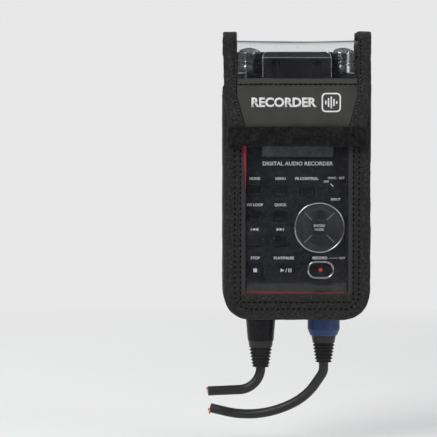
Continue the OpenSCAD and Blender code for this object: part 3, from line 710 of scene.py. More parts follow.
def fibres(shape, spots, up, length, lean=0.9, radius=0.07):
    """Curled nap: short tapering three-sided hairs standing on given spots."""
    for spot in spots:
        turn = random.uniform(0, tau)
        side = up.orthogonal().normalized()
        side.rotate(Matrix.Rotation(turn, 3, up))
        other = up.cross(side)
        tall = length * random.uniform(0.5, 1.25)
        lean_by = random.uniform(-lean, lean)
        rings = []
        for t, r in ((0, 1), (0.55, 0.85), (1, 0.35)):
            bend = sin(t * 2.2) * lean_by * tall
            centre = spot + up * (t * tall * MM) + side * (bend * MM)
            rings.append([centre + side * (a * MM) + other * (b * MM)
                          for a, b in oval(radius * r, radius * r, 3)])
        shape.skin(rings)


PANEL_Y = span("front_panel")[0][1]
STRAP_Y = span("flap_frame")[0][1]
GREY_Y = span("flap_panel")[0][1]
BAND_Y = span("flap_band")[0][1]
FILM_Y = span("window_film")[0][1]
WINDOW_HALF, WINDOW_TOP, WINDOW_LOW = 32, 18, -74.4
PANEL_HAIRS, BAND_HAIRS, BAND_EDGE_HAIRS = 3600, 5200, 1100

# ---------------------------------------------------------------- pouch

shell = padded("pouch_shell_cloth", "pouch_shell", 1.9, 5.0, 0.4, ((26, 0.5), (7, 0.3), (2.2, 0.12)))
piece(shell, "pouch_cloth", stands_for=("pouch_shell",))

panel = padded("front_panel_cloth", "front_panel", 1.1, 5.0, 0.5, ((18, 0.3), (5, 0.22), (1.8, 0.1)))
ROWS = ((38.8, -83.8, 9), (35.3, -79.6, 3.2))
groove(panel, [plane(tub(half, low, 30, r), 0) for half, low, r in ROWS],
       1.1, 0.25, OUT)
piece(panel, "pouch_cloth", stands_for=("front_panel",))

# felt turned over the window's bottom edge
path = densify([P(x, PANEL_Y + 0.6, -76.9) for x in (-35.5, 35.5)], 1.5)
lip = [(2.4, 0), (2.3, 0.6), (1.9, 1.0), (1.0, 1.18), (0, 1.22), (-1.0, 1.18), (-1.9, 1.0),
       (-2.3, 0.6), (-2.4, 0), (-1.6, -0.9), (1.6, -0.9)]
turned = swept("front_panel_lip", path, lip, "pouch_cloth", ((8, 0.25), (2.2, 0.14)))

# rolled edge where the front panel meets the sides
path = plane(tub(42.9, -87.8, 31, 14.0, 1.6), PANEL_Y + 1.1)
roll = [(3.0, 0.2), (2.75, 0.95), (2.1, 1.5), (1.1, 1.78), (0, 1.84), (-1.1, 1.78), (-2.1, 1.6),
        (-2.9, 1.3), (-3.4, 0.9), (-3.5, 0.2), (-2.6, -1.6), (-1.4, -3.2), (1.2, -3.2), (2.7, -1.5)]
if facing(path, OUT)[0][1].x > 0:
    roll = [(-a, b) for a, b in roll]
edge = swept("edge_binding_roll", path, roll, "pouch_cloth", ((9, 0.3), (2.4, 0.16)),
             slot="webbing", stands_for=("edge_binding",))


def window_ring(grow, r, depth):
    """A closed path round the window, grown by an amount and depth behind the panel's face."""
    outline = rounded_box(0, (WINDOW_TOP + WINDOW_LOW) / 2, 2 * WINDOW_HALF + grow,
                          WINDOW_TOP - WINDOW_LOW + grow, r)
    return densify(plane(outline, PANEL_Y + depth), 1.6, True)


# smooth tape folded over the window's edge
tape = [(-1.5, -1.0), (1.3, -1.0), (1.55, -0.6), (1.62, 0.2), (1.4, 0.86), (0.8, 1.12),
        (0, 1.22), (-0.8, 1.12), (-1.4, 0.86), (-1.62, 0.2)]
binding = swept("window_binding_tape", window_ring(3.0, 2.4, 0.95), tape, "binding_grey",
                ((6, 0.16), (2, 0.05)), True, stands_for=("window_binding",))

# felt rim between the tape and the stitching
rim = [(-1.7, -0.9), (1.7, -0.9), (1.8, 0.2), (1.2, 0.85), (0, 0.98), (-1.2, 0.85), (-1.8, 0.2)]
felt_rim = swept("window_rim_felt", window_ring(7.2, 3.6, 0.9), rim, "pouch_cloth",
                 ((6, 0.12), (1.8, 0.08)), True)

# two rows of stitching round the window
on_panel = surface_of(panel, edge, turned, binding, felt_rim)
shape = Shape()
for half, low, r in ROWS:
    path = plane(tub(half, low, 30, r), PANEL_Y)
    stitch_row(shape, path, OUT, 3.3, 1.6, 1.0, 0.6, drop=on_panel)
piece(shape.build("window_stitching"), "thread", slot="binding_grey")

# short loose nap over the front panel
shape = Shape()
spots = []
while len(spots) < PANEL_HAIRS:
    x, z = random.uniform(-45, 45), random.uniform(-88, 31)
    inner = abs(x) < 35.6 and z > -78.4
    corner = abs(x) > 31 and z < -75 and hypot(abs(x) - 31, z + 75) > 14.2
    if not inner and not corner:
        spots.append(P(x, PANEL_Y + 0.05, z))
fibres(shape, [on_panel(spot, OUT) for spot in spots], OUT, 0.62, radius=0.05)
piece(shape.build("front_panel_nap"), "loop_pile", slot="pouch_cloth")

# red lining: back, side strips, front border and a turned edge, each a thin rippled sheet
shape = Shape()
LINING_BACK = span("pouch_lining")[1][1]
rows = [[ripple(P(x, LINING_BACK, z), 14, 0.12, OUT) for x in range(-40, 41, 2)]
        for z in [-79 + 2.5 * i for i in range(55)]]
shape.sheet(rows, 0.35, OUT)
walls = tub(41.0, -80.0, 55, 6.8, 2.0)
for side, bottom, top in ((-1, 50.5, 60), (-1, -4.5, 7.5), (1, 50.5, 60), (1, -38.5, 9.5)):
    inward = Vector((-side, 0, 0))
    rows = [[ripple(P(x, LINING_BACK - 0.5 - depth, z), 12, 0.1, inward)
             for depth in steps(0, 36.2, 16)]
            for x, z in walls if x * side > 0 and bottom < z < top]
    shape.sheet(rows, 0.3, inward)
for side in (-1, 1):
    rows = []
    for z in [-79 + 2.5 * i for i in range(42)]:
        showing = 0.9 * min(1.0, max(0.0, (z + 24) / 30)) if side < 0 else -1.5
        rows.append([P(side * (41 - (8.8 + showing) * t), FILM_Y + 0.95, z)
                     for t in (0, 0.33, 0.66, 1)])
    shape.sheet(rows, 0.3, -OUT)
rows = [[ripple(P(x, FILM_Y + 0.9, z - (0.008 * x + 0.1) * (z > -74)), 12, 0.2, UP)
         for x in range(-40, 41, 2)] for z in (-79.4, -77, -75, -73.2)]
shape.sheet(rows, 0.35, -OUT)
# its edge folded out over the window's tape at the upper left
rows = []
for k in range(19):
    z = -9 + 29 * k / 18
    wide = 0.3 + 1.8 * (k / 18) ** 1.5
    rows.append([ripple(P(-31.9 - wide * t, PANEL_Y - 0.42 + 0.12 * abs(2 * t - 1), z), 7, 0.2, RIGHT)
                 for t in (1, 0.75, 0.5, 0.25, 0)])
shape.sheet(rows, 0.25, -OUT)
piece(shape.build("pouch_lining_cloth", 60), "lining_red", stands_for=("pouch_lining",))

# padded floor strip of the lining, between and around the plug holes
shape = Shape()
for x0, x1 in ((-34.5, -36.5), (-8.2, 3.6), (31.6, 34.5)):
    rows = [[ripple(P(x, LINING_BACK - 1 - y, -79.9), 9, 0.15, UP) for x in steps(x0, x1, 6)]
            for y in steps(0, 35, 14)]
    shape.sheet(rows, 0.3, UP)
piece(shape.build("lining_floor", 60), "lining_red")

# clear front window
FILM_HALF, FILM_LOW, FILM_TOP = 35.5, -77.9, 21.5
BULGE_FOOT, BULGE_CREST, BULGE = -72.2, -69.8, 1.6
rows = []
for z in steps(FILM_LOW, FILM_TOP, 55):
    row = []
    for x in steps(-FILM_HALF, FILM_HALF, 40):
        crest = BULGE_CREST + 0.8 * noise.noise(Vector((x / 13, 0.3, 0)))
        crest -= 0.9 * exp(-((x + 33) / 6) ** 2) + 0.6 * exp(-((x - 12) / 12) ** 2)
        lift = BULGE * min(1.0, max(0.0, (z - BULGE_FOOT) / (crest - BULGE_FOOT)))
        lift *= min(1.0, max(0.0, (FILM_HALF - 2 - abs(x)) / 2.5), (FILM_TOP - z) / 3.0)
        row.append(ripple(P(x, FILM_Y + 0.1 - lift, z), 20, 0.3, OUT))
    rows.append(row)
thin_piece("window_film_sheet", rows, 0.25, -OUT, "film_clear", ROOT, "window_film")

# bound edges of the side openings
shape = Shape()
stitches = Shape()
for side, low, high in ((1, 10, 50), (-1, 8, 50), (-1, -38, -5)):
    outline = rounded_box(0, 0, 23, high - low, 1.2, 4)
    path = densify([P(side * 45.9, AXIS + y, (low + high) / 2 + z) for y, z in outline], 1.5, True)
    normal = Vector((side, 0, 0))
    shape.sweep(facing(path, normal, True), oval(1.25, 0.85, 10), True)
    outline = rounded_box(0, 0, 27.5, high - low + 4.5, 3, 4)
    path = [P(side * 46.5, AXIS + y, (low + high) / 2 + z) for y, z in outline]
    stitch_row(stitches, path, normal, closed=True)
ports = shape.build("side_opening_binding", 180)
jitter(ports, (5, 0.15))
piece(ports, "binding_grey")
piece(stitches.build("side_opening_stitching"), "thread_light", slot="binding_grey")

# piping along the back seam, and a row of stitches inside it
def back_edge(z):
    """The piping leans inward towards the back panel's top."""
    t = min(1.0, max(0.0, (z - 42) / 16))
    return 1.7 * t * t * (3 - 2 * t)


path = [P(x - copysign(back_edge(z), x), -1.2, z) for x, z in tub(45.3, -89.8, 64, 15.4, 2.0)]
turn = [P(36.6 + 8 * cos(radians(a)), -1.2, 63.9 + 8 * sin(radians(a)))
        for a in range(10, 91, 10)]
path += turn + densify([P(33, -1.2, 71.9), P(-33, -1.2, 71.9)], 3)
path += [Vector((-p.x, p.y, p.z)) for p in reversed(turn)]
swept("back_piping", path, oval(1.3, 1.3, 12), "webbing", ((6, 0.2), (2, 0.08)), True, False)
shape = Shape()
stitch_row(shape, plane(tub(42.4, -86.4, 66, 12), 0.75), -OUT)
stitch_row(shape, [P(x, 0.75, 68.4) for x in (-42, 42)], -OUT)
piece(shape.build("back_stitching"), "thread_light", slot="webbing")

# loop tape on the front panel and hook tape under the flap
def tape_strip(name, node, body, material, nap, up):
    low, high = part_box(node)
    y = high.y if up.y > 0 else low.y
    depth = (high.y - low.y) / MM
    rows = []
    for z in steps(low.z, high.z, 8):
        rows.append([ripple(Vector((x, y - up.y * 0.15 * MM, z)), 6, 0.12, up)
                     for x in steps(low.x, high.x, 60)])
    thin_piece(name, rows, depth - 0.2, -up, material, body, node)
    shape = Shape()
    spots = [Vector((random.uniform(low.x, high.x), y - up.y * 0.1 * MM,
                     random.uniform(low.z, high.z))) for _ in range(nap)]
    fibres(shape, spots, up, 0.16, 0.6, 0.06)
    piece(shape.build(name + "_nap"), material, body)


tape_strip("front_loop_tape", "front_loop_strip", ROOT, "loop_pile", 900, OUT)
tape_strip("flap_hook_tape", "flap_hook_strip", FLAP, "hook_tape", 700, -OUT)

# belt loop: thick webbing with turned ends, stitched in crossed boxes
loop_half, outer, _ = span("belt_loop")[1]
shape = Shape()
centre_line = [(1.1, -4), (1.1, 2.4), (1.6, 3.6), (outer - 1.9, 7.6), (outer - 1.15, 9.4),
               (outer - 1.0, 20), (outer - 1.0, 33), (outer - 1.0, 46), (outer - 1.15, 56.6),
               (outer - 1.9, 58.4), (1.6, 62.6), (1.1, 63.8), (1.1, 70)]
path = densify([P(0, y, z) for y, z in centre_line], 1.5)
web = [(-loop_half + 0.1, -0.6), (-loop_half + 0.1, 0.6), (-loop_half + 1, 0.92)]
web += [(x, 0.92) for x in range(-21, 22, 3)]
web += [(loop_half - 1, 0.92), (loop_half - 0.1, 0.6), (loop_half - 0.1, -0.6),
        (loop_half - 1, -0.92)]
web += [(x, -0.92) for x in range(21, -22, -3)] + [(-loop_half + 1, -0.92)]
rings = []
for i, p in enumerate(path):
    along = (path[min(i + 1, len(path) - 1)] - path[max(i - 1, 0)]).normalized()
    over = along.cross(RIGHT).normalized()
    if over.y < 0:
        over = -over
    rings.append([p + RIGHT * (a * MM) + over * (b * MM) for a, b in web])
shape.skin(rings)
loop = shape.build("belt_loop_webbing", 50)
jitter(loop, (7, 0.12))
piece(loop, "webbing", stands_for=("belt_loop",))
shape = Shape()
for z0, z1 in ((-3, 1.9), (64.4, 69)):
    box_path = [P(-22, 2.12, z0), P(22, 2.12, z0), P(22, 2.12, z1), P(-22, 2.12, z1)]
    stitch_row(shape, box_path, -OUT, closed=True)
    for a, b in ((-22, -7.5), (-7.5, 7.5), (7.5, 22)):
        stitch_row(shape, [P(a, 2.16, z0), P(b, 2.16, z1)], -OUT)
        stitch_row(shape, [P(a, 2.16, z1), P(b, 2.16, z0)], -OUT)
piece(shape.build("belt_loop_stitching"), "thread_light", slot="webbing")

# ---------------------------------------------------------------- flap

def panel_half(z):
    """Half width of the flap's opening at a height."""
    return 37.4 - 5.5 * min(1.0, max(0.0, (49.8 - z) / 20))


straps = padded("flap_straps_cloth", "flap_frame", 1.0, 5.0, 0.6, ((16, 0.4), (4, 0.22), (1.6, 0.1)))
strap_rows = [[(side * (panel_half(z) + 1.9), z) for z in range(84, 30, -2)] for side in (-1, 1)]
groove(straps, [plane(row, 0) for row in strap_rows], 0.9, 0.4, OUT)
piece(straps, "pouch_cloth", FLAP, stands_for=("flap_frame",))
on_straps = surface_of(straps)

# stitching along the inner edges of the straps
shape = Shape()
for side, row in zip((-1, 1), strap_rows):
    stitch_row(shape, plane(row, STRAP_Y), OUT, drop=on_straps)
    stitch_row(shape, [P(side * 39.3, y, 89.3) for y in (-40, -8)], UP)
piece(shape.build("flap_strap_stitching"), "thread", FLAP, "pouch_cloth")
shape = Shape()
for side in (-1, 1):
    for k in range(17):
        z = 31.5 + 1.9 * k
        slant = Vector((side * 0.75, 0, 0.66)).normalized()
        at = P(side * (panel_half(z) + 2.0 + random.uniform(-0.15, 0.15)), STRAP_Y, z)
        shape.bead(on_straps(at, OUT) - OUT * 0.02 * MM, slant, OUT, 3.1, 0.55, 0.5)
piece(shape.build("flap_whip_stitching"), "thread_light", FLAP, "pouch_cloth")

# clear top: up the front, over and down the back
film_front = span("flap_window")[0][1]
half, film_back, film_top = span("flap_window")[1]
bend = 6
turn = [(bend * cos(radians(a)), bend * sin(radians(a))) for a in range(10, 91, 10)]
profile = [(film_front, z) for z in steps(57, film_top - bend, 8)]
profile += [(film_front + bend - a, film_top - bend + b) for a, b in turn]
profile += [(y, film_top) for y in steps(film_front + bend, film_back - bend, 12)[1:]]
profile += [(film_back - bend + b, film_top - bend + a) for a, b in turn]
profile.append((film_back, 76.4))
rows = []
for y, z in profile:
    row = []
    for x in steps(-half, half, 36):
        sag = 0.55 * cos(pi / 2 * x / half) * max(0.0, (z - 70) / 14)
        row.append(ripple(P(x, y, z - sag), 22, 0.5, Vector((0, -0.6, -0.4))))
    rows.append(row)
inward = Vector((0, 0.7, -0.7))
thin_piece("flap_film_sheet", rows, 0.3, inward, "film_clear", FLAP, "flap_window")

# grey panel, slightly crowned, with a folded hem along its top
grey_low, grey_high = [corner[2] for corner in span("flap_panel")]
rows = []
for z in steps(grey_low + 0.15, grey_high, 24):
    wide = panel_half(z)
    row = []
    for x in steps(-wide, wide, 40):
        crown = 0.35 * (1 - (x / wide) ** 4) * min(1, (grey_high - z) / 3, (z - grey_low) / 3 + 0.2)
        row.append(ripple(P(x, GREY_Y + 0.35 - crown, z), 18, 0.25, OUT))
    rows.append(row)
thin_piece("flap_panel_cloth", rows, 0.9, -OUT, "panel_grey", FLAP, "flap_panel")
shape = Shape()
hem = [(-1.9, -0.35), (1.2, -0.35), (1.35, 0), (1.1, 0.42), (-1.1, 0.2), (-1.9, -0.1)]
path = densify([P(-37.2, GREY_Y - 0.1, 58.4), P(37.2, GREY_Y - 0.1, 58.4)], 2.0)
shape.sweep(facing([ripple(p, 8, 0.3, UP) for p in path], OUT), hem)
piece(shape.build("flap_panel_hem", 50), "panel_grey", FLAP)
shape = Shape()
stitch_row(shape, [P(x, GREY_Y - 0.2, 56.6) for x in (-36.6, 36.6)], OUT, 3.1, 2.0, 0.7)
piece(shape.build("flap_hem_stitching"), "thread", FLAP, "panel_grey")

# closure band: a rolled felt strip thick with nap, its ends sagging a little
band_low = span("flap_band")[0][2]
band_half, _, band_high = span("flap_band")[1]


def band_droop(x):
    return -1.6 * max(0.0, (abs(x) - 34) / 10) ** 2


shape = Shape()
rings = []
mid_z, half_tall = (band_low + band_high) / 2, (band_high - band_low) / 2
for i in range(61):
    x = -band_half + 2 * band_half * i / 60
    pinch = min(1.0, 0.72 + 0.28 * min(i, 60 - i) / 2)
    ring = []
    for k in range(20):
        a = tau * k / 20
        c, s = cos(a), sin(a)
        z = copysign(abs(c) ** 0.45, c) * half_tall * pinch
        y = copysign(abs(s) ** 0.8, s) * 0.95
        ring.append(P(x, BAND_Y + 0.55 - y, mid_z + z + band_droop(x)))
    rings.append(ring)
shape.skin(rings)
band = shape.build("flap_band_cloth", 180)
subdivide(band)
jitter(band, (7, 0.6), (2.2, 0.45), (1.1, 0.2))
piece(band, "loop_pile", FLAP, stands_for=("flap_band",))
shape = Shape()
spots = []
for _ in range(BAND_HAIRS):
    x = random.uniform(-band_half + 0.4, band_half - 0.4)
    z = mid_z + random.uniform(-1, 1) * half_tall * 0.97 + band_droop(x)
    clump = noise.noise(Vector((x / 2.1, 0, z / 2.1)))
    if clump > -0.25:
        spots.append(P(x, BAND_Y - 0.1 - 0.25 * clump, z))
fibres(shape, spots, OUT, 1.15, 1.1, 0.085)
edge_spots = [P(random.uniform(-band_half, band_half), BAND_Y + 0.4, 0)
              for _ in range(BAND_EDGE_HAIRS)]
for k, spot in enumerate(edge_spots):
    above = 1 if k % 2 else -1
    spot.z = MID + (mid_z + above * (half_tall - 0.5) + band_droop(spot.x / MM)) * MM
for first, lean in ((0, -0.87), (1, 0.87)):
    fibres(shape, edge_spots[first::2], Vector((0, -0.5, lean)), 1.1, 0.8, 0.08)
piece(shape.build("flap_band_nap"), "loop_pile", FLAP)

# cloth hinge from the top of the back to the flap's back leg
rows = []
for z in steps(70.6, 77.5, 28):
    y = 0.3 + 0.25 * exp(-((z - 73.4) / 1.1) ** 2)
    rows.append([ripple(P(x, y, z), 9, 0.12, -OUT) for x in range(-43, 44, 2)])
hinge = thin_piece("flap_hinge_cloth", rows, 0.8, -OUT, "webbing", None)
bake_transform(hinge)


# ---------------------------------------------------------------- printing

# centres on the recorder's face and on the flap, in x and z
STOP, PLAY, RECORD = (-26, -59.7), (-7, -59.7), (15, -59.4)
WHEEL = (14.2, -32.9)
BADGE = (21.1, 45.4)


def lettering(text, size, x, z, align="CENTER", bold=0.085, wide=1.0):
    """Flat letters standing in the face's plane, as (points, faces) in x and z millimetres."""
    curve = bpy.data.curves.new("letters", "FONT")
    curve.body = text
    curve.size = size
    curve.align_x = align
    curve.align_y = "CENTER"
    curve.offset = bold
    curve.extrude = 0.02
    curve.resolution_u = 3
    ob = bpy.data.objects.new("letters", curve)
    bpy.context.scene.collection.objects.link(ob)
    graph = bpy.context.evaluated_depsgraph_get()
    graph.update()
    me = bpy.data.meshes.new_from_object(ob.evaluated_get(graph), depsgraph=graph)
    points = [(v.co.x * wide + x, v.co.y + z, v.co.z) for v in me.vertices]
    faces = [tuple(poly.vertices) for poly in me.polygons]
    bpy.data.objects.remove(ob)
    bpy.data.curves.remove(curve)
    bpy.data.meshes.remove(me)
    return points, faces


def print_on(name, items, y, material, body, slot, smooth=20):
    """items: lists from lettering() or flat() joined into one piece just proud of y."""
    shape = Shape()
    for points, faces in items:
        base = len(shape.verts)
        shape.verts += [P(x, y - 0.03 - depth, z) for x, z, depth in points]
        shape.faces += [tuple(base + k for k in face) for face in faces]
    ob = shape.build(name, smooth)
    weld(ob, 1e-7)
    return piece(ob, material, body, slot)


def flat(outline, thick=0.02):
    """A flat mark from an outline in x and z."""
    n = len(outline)
    points = [(x, z, -thick) for x, z in outline] + [(x, z, thick) for x, z in outline]
    faces = [tuple(range(n)), tuple(reversed(range(n, 2 * n)))]
    faces += [(k, (k + 1) % n, (k + 1) % n + n, k + n) for k in range(n)]
    return points, faces


def bar(x, z, w, h):
    return flat([(x - w / 2, z - h / 2), (x + w / 2, z - h / 2),
                 (x + w / 2, z + h / 2), (x - w / 2, z + h / 2)])


def triangle(x, z, size, way=1):
    return flat([(x - way * size / 2, z - size / 2), (x + way * size / 2, z),
                 (x - way * size / 2, z + size / 2)])


# distances from a skip sign's stop to its two arrowheads, by direction
ARROW_GAPS = {-1: (1.5, 3.4), 1: (3.3, 1.4)}


def disc(x, z, r):
    return flat([(x + a, z + b) for a, b in oval(r, r, 24)])


legends = [lettering("DIGITAL AUDIO RECORDER", 3.3, 0.5, 7.1, wide=1.06)]
for text, x, z in (("HOME", -26.4, -2.3), ("MENU", -10.2, -2.3), ("PB CONTROL", 6.2, -2.3),
                   ("I/O LOOP", -26.2, -18.7), ("QUICK", -10.2, -18.7), ("STOP", -26, -52.1),
                   ("PLAY/PAUSE", -8, -52.1), ("RECORD", 14.6, -52.1)):
    legends.append(lettering(text, 2.35, x, z))
for text, size, x, z in (("CUT", 1.8, 28.6, -52.1), ("UNI", 1.9, 18.4, -4.1),
                         ("OMNI", 1.9, 21.9, -1.9), ("EXT", 1.9, 28.2, -1.9)):
    legends.append(lettering(text, size, x, z, bold=0.055))
legends += [lettering("INPUT", 2.1, 24.4, -15.3, bold=0.07), bar(23.4, -52.1, 6.0, 0.2),
            bar(25.2, -1.9, 0.9, 0.2)]
# two arrowheads against a stop, pointing left over one key and right over the next
for x, way in ((-28.5, -1), (-8.3, 1)):
    legends.append(bar(x, -34.1, 0.4, 2.0))
    legends += [triangle(x - way * gap, -34.1, 2.0, way) for gap in ARROW_GAPS[way]]
print_on("face_legends", legends, FACE, "print_white", ROOT, "casing_black")

KEY_FACE = FACE - 1.04
play_marks = [triangle(-8.9, -59.7, 2.4),
              flat([(-7.2, -60.9), (-6.8, -60.9), (-5.9, -58.5), (-6.3, -58.5)]),
              bar(-4.9, -59.7, 0.6, 2.3), bar(-3.6, -59.7, 0.6, 2.3)]
for key, marks, colour in (("stop", [bar(*STOP, 2.3, 2.3)], "print_white"),
                           ("play", play_marks, "print_white"),
                           ("record", [disc(*RECORD, 1.15)], "print_red")):
    print_on(key + "_mark", marks, KEY_FACE, colour, key + "_key", "key_black")
print_on("enter_mark", [lettering("ENTER/", 2.2, WHEEL[0], WHEEL[1] + 1.1, bold=0.05),
                        lettering("MARK", 2.2, WHEEL[0], WHEEL[1] - 1.3, bold=0.05)],
         FACE - 1.02, "print_white", "enter_key", "key_black")
print_on("selector_mark", [flat([(20.9, -5.6), (21.3, -5.2), (23.1, -7.0), (22.7, -7.4)])],
         FACE - 1.2, "print_white", "selector", "key_black")

badge = [lettering("RECORDER", 7.8, -28.8, 45.2, "LEFT", bold=0.3, wide=1.01)]
outer, inner = rounded_box(*BADGE, 12, 12, 2.6), rounded_box(*BADGE, 10.2, 10.2, 1.8)
for k, corner in enumerate(outer):
    after = (k + 1) % len(outer)
    if corner != outer[after]:
        badge.append(flat([corner, outer[after], inner[after], inner[k]], 0.03))
for k, tall_bar in enumerate((2.4, 5.6, 7.4, 4.4, 1.8)):
    badge.append(bar(BADGE[0] + (k - 2) * 1.7, BADGE[1], 0.85, tall_bar))
print_on("flap_print", badge, GREY_Y - 0.16, "flap_white", FLAP, "panel_grey")


# ---------------------------------------------------------------- recorder details

def pillow_key(key, at, w, h, r=1.5, top=0.8, crown=0.22):
    """A key cap with eased edges and a slightly crowned top."""
    shape = Shape()
    rings = []
    for inset, height in ((0, -2.1), (0, top - 0.42), (0.08, top - 0.2), (0.26, top - 0.05),
                          (0.55, top + 0.03)):
        ring = rounded_box(at[0], at[1], w - 2 * inset, h - 2 * inset, max(0.3, r - inset * 0.6))
        rings.append(plane(ring, FACE - height))
    for part in (0.7, 0.35, 0.02):
        height = top + 0.03 + crown * (1 - part ** 2)
        ring = rounded_box(at[0], at[1], (w - 1.1) * part, (h - 1.1) * part,
                           max(0.005, (r - 0.33) * part))
        rings.append(plane(ring, FACE - height))
    shape.skin(rings)
    piece(shape.build(key + "_cap", 50), "key_black", key + "_key", stands_for=(key + "_button",))


small_keys = {"home": (-26.4, -9.7), "menu": (-10.2, -9.7), "playback": (6.4, -9.7),
              "loop": (-26.4, -25.7), "quick": (-10.2, -25.7), "rewind": (-26.4, -41.7),
              "forward": (-10.2, -41.7)}
for key, at in small_keys.items():
    pillow_key(key, at, 8.4, 5.8)
pillow_key("stop", STOP, 9, 7.6)
pillow_key("play", PLAY, 13, 7.6)
pillow_key("record", RECORD, 14.2, 8.4, 3.9, 0.75)

# rounded chrome beads on the wheel's and the record key's surrounds
bead = oval(0.52, 0.5, 12)
ring = [P(WHEEL[0] + a, FACE - 1.05, WHEEL[1] + b) for a, b in oval(15.45, 15.45, 96)]
swept("wheel_bezel_bead", ring, bead, "bright_chrome", (), True, False, slot="chrome_trim")
(left, bezel_y, bottom), (right, _, top) = span("record_bezel")
outline = rounded_box(*RECORD, right - left - 1.1, top - bottom - 1.1, (top - bottom - 1.2) / 2, 12)
ring = densify(plane(outline, bezel_y - 0.05), 0.6, True)
swept("record_bezel_bead", ring, bead, "bright_chrome", (), True, False, slot="chrome_trim")

# pale lines in the wheel's four radial grooves: painted highlights where the groove edges catch the
# light
for k in range(4):
    a = radians(45 + 90 * k)
    way = Vector((cos(a), 0, sin(a)))
    shape = Shape()
    path = [P(WHEEL[0], FACE - 0.5, WHEEL[1]) + way * (r * MM) for r in (6.6, 8, 10, 12, 13.2)]
    shape.sweep(facing(path, OUT), oval(0.45, 0.22, 8))
    piece(shape.build("jog_groove_highlight_%d" % k, 60), "groove_grey", "jog", "key_black")

# sunk rings round the keys catch a little light at their corners
shape = Shape()
key_sizes = [(at, 8.4, 5.8) for at in small_keys.values()]
key_sizes += [(STOP, 9, 7.6), (PLAY, 13, 7.6)]
for at, w, h in key_sizes:
    outline = rounded_box(at[0], at[1], w + 1.3, h + 1.3, 2.1)
    path = densify(plane(outline, FACE), 0.8, True)
    lip = [(0.3, -0.05), (0.22, 0.16), (0, 0.24), (-0.22, 0.16), (-0.3, -0.05)]
    shape.sweep(facing(path, OUT, True), lip, True)
piece(shape.build("key_surrounds", 60), "casing_black")


MIC_BASE = 63.2


# microphone heads: polished barrel, flange, ribbed grille with a dome of wires
def mic(name):
    left, right = span(name)[0][0], span(name)[1][0]
    grow = (right - left) / 2 / 6.8
    origin = P((left + right) / 2, AXIS, MIC_BASE)
    outline = [(0, 0.05), (6.1, 0.05), (6.5, 0.2), (6.72, 0.6), (6.76, 1.2), (6.76, 4.6),
               (6.6, 5.1), (5.9, 5.35), (5.8, 5.6), (5.8, 6.05), (6.5, 6.15), (6.78, 6.4),
               (6.78, 7.3), (6.5, 7.55), (5.9, 7.65), (5.8, 7.9), (5.8, 8.2), (6.3, 8.35)]
    for k in range(7):
        z = 8.5 + k * 0.64
        outline += [(6.74, z), (6.74, z + 0.28), (6.3, z + 0.38), (6.3, z + 0.54)]
    outline += [(6.3 * cos(radians(a)), 13.0 + 3.3 * sin(radians(a))) for a in range(0, 90, 9)]
    outline.append((0, 16.3))
    shape = Shape()
    shape.lathe([(r * grow, z) for r, z in outline], origin, UP, RIGHT, 56)
    stem = [(0, 0.2), (2.2, 0.2), (2.2, 4.0), (0, 4.0)]
    shape.lathe(stem, origin - UP * 3.1 * MM, UP, RIGHT, 24)
    piece(shape.build(name + "_head", 35), "mic_silver", ROOT, stands_for=(name,))
    # open grille wires over the dome
    shape = Shape()
    for k in range(9):
        a = pi * k / 9
        flank = RIGHT * cos(a) + UP.cross(RIGHT) * sin(a)
        width = UP.cross(flank)
        rings = []
        for t in range(-80, 81, 10):
            u = radians(t)
            p = origin + UP * ((13.0 + 3.45 * cos(u)) * MM) + flank * (6.45 * grow * sin(u) * MM)
            out_by = UP * cos(u) + flank * sin(u)
            rings.append([p + width * (c * MM) + out_by * (s * MM) for c, s in oval(0.2, 0.2, 5)])
        shape.skin(rings)
    piece(shape.build(name + "_grille", 60), "chrome_trim", ROOT, "mic_silver")


mic("mic_left")
mic("mic_right")

# pale outline along the front edges of the block between the microphones: thin chrome strips that
# paint the highlight lines on those edges
shape = Shape()
top_z = span("mic_bridge")[1][2]
front_y = FACE + 1.5
BEVEL = 3.6
face_line = [P(-21.4, front_y, 61), P(-21.4, front_y, top_z - BEVEL),
             P(21.4, front_y, top_z - BEVEL), P(21.4, front_y, 61)]
top_line = []
for a in range(0, 91, 15):
    x = 18 + 3.4 * cos(radians(a))
    z = top_z - 3.5 + 3.45 * sin(radians(a))
    top_line.append(P(-x, front_y + 1.25 * (z - top_z + BEVEL), z))
top_line += [Vector((-p.x, p.y, p.z)) for p in reversed(top_line)]
for line in (face_line, top_line):
    shape.sweep(facing(densify(line, 1.0), OUT), oval(0.26, 0.16, 8))
piece(shape.build("bridge_edge_highlight", 60), "chrome_trim", slot="mic_silver")

# cut ends of the leads: screen and two insulated cores
for lead, body in (("lead_left", "left_lead"), ("lead_right", "right_lead")):
    low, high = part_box(lead)
    data = frame["nodes"][lead].data
    tip = [v.co for v in data.vertices if v.co.x < low.x + 0.3 * MM]
    centre = sum(tip, Vector()) / len(tip)
    centre.x = low.x + 0.15 * MM
    spin = [v.co for v in data.vertices if low.x + 2 * MM < v.co.x < low.x + 40 * MM]
    heading = Vector((-1, 0, 0))
    if spin:
        heading = (centre - sum(spin, Vector()) / len(spin)).normalized()
        heading = (heading + Vector((-3, 0, 0))).normalized()
    for k, (colour, offset, r) in enumerate((("copper", 0, 2.0), ("core_red", 1, 0.7),
                                             ("core_white", -1, 0.7))):
        shape = Shape()
        at = centre + UP * (offset * 0.9 * MM) - heading * 0.6 * MM
        reach = 0.8 if k == 0 else 1.6
        shape.lathe([(0, 0), (r, 0), (r, reach - 0.15), (r - 0.15, reach), (0, reach)], at, heading,
                    UP, 20)
        piece(shape.build("%s_core_%d" % (lead, k), 40), colour, body, "lead_jacket")

# ---------------------------------------------------------------- stage, light, camera

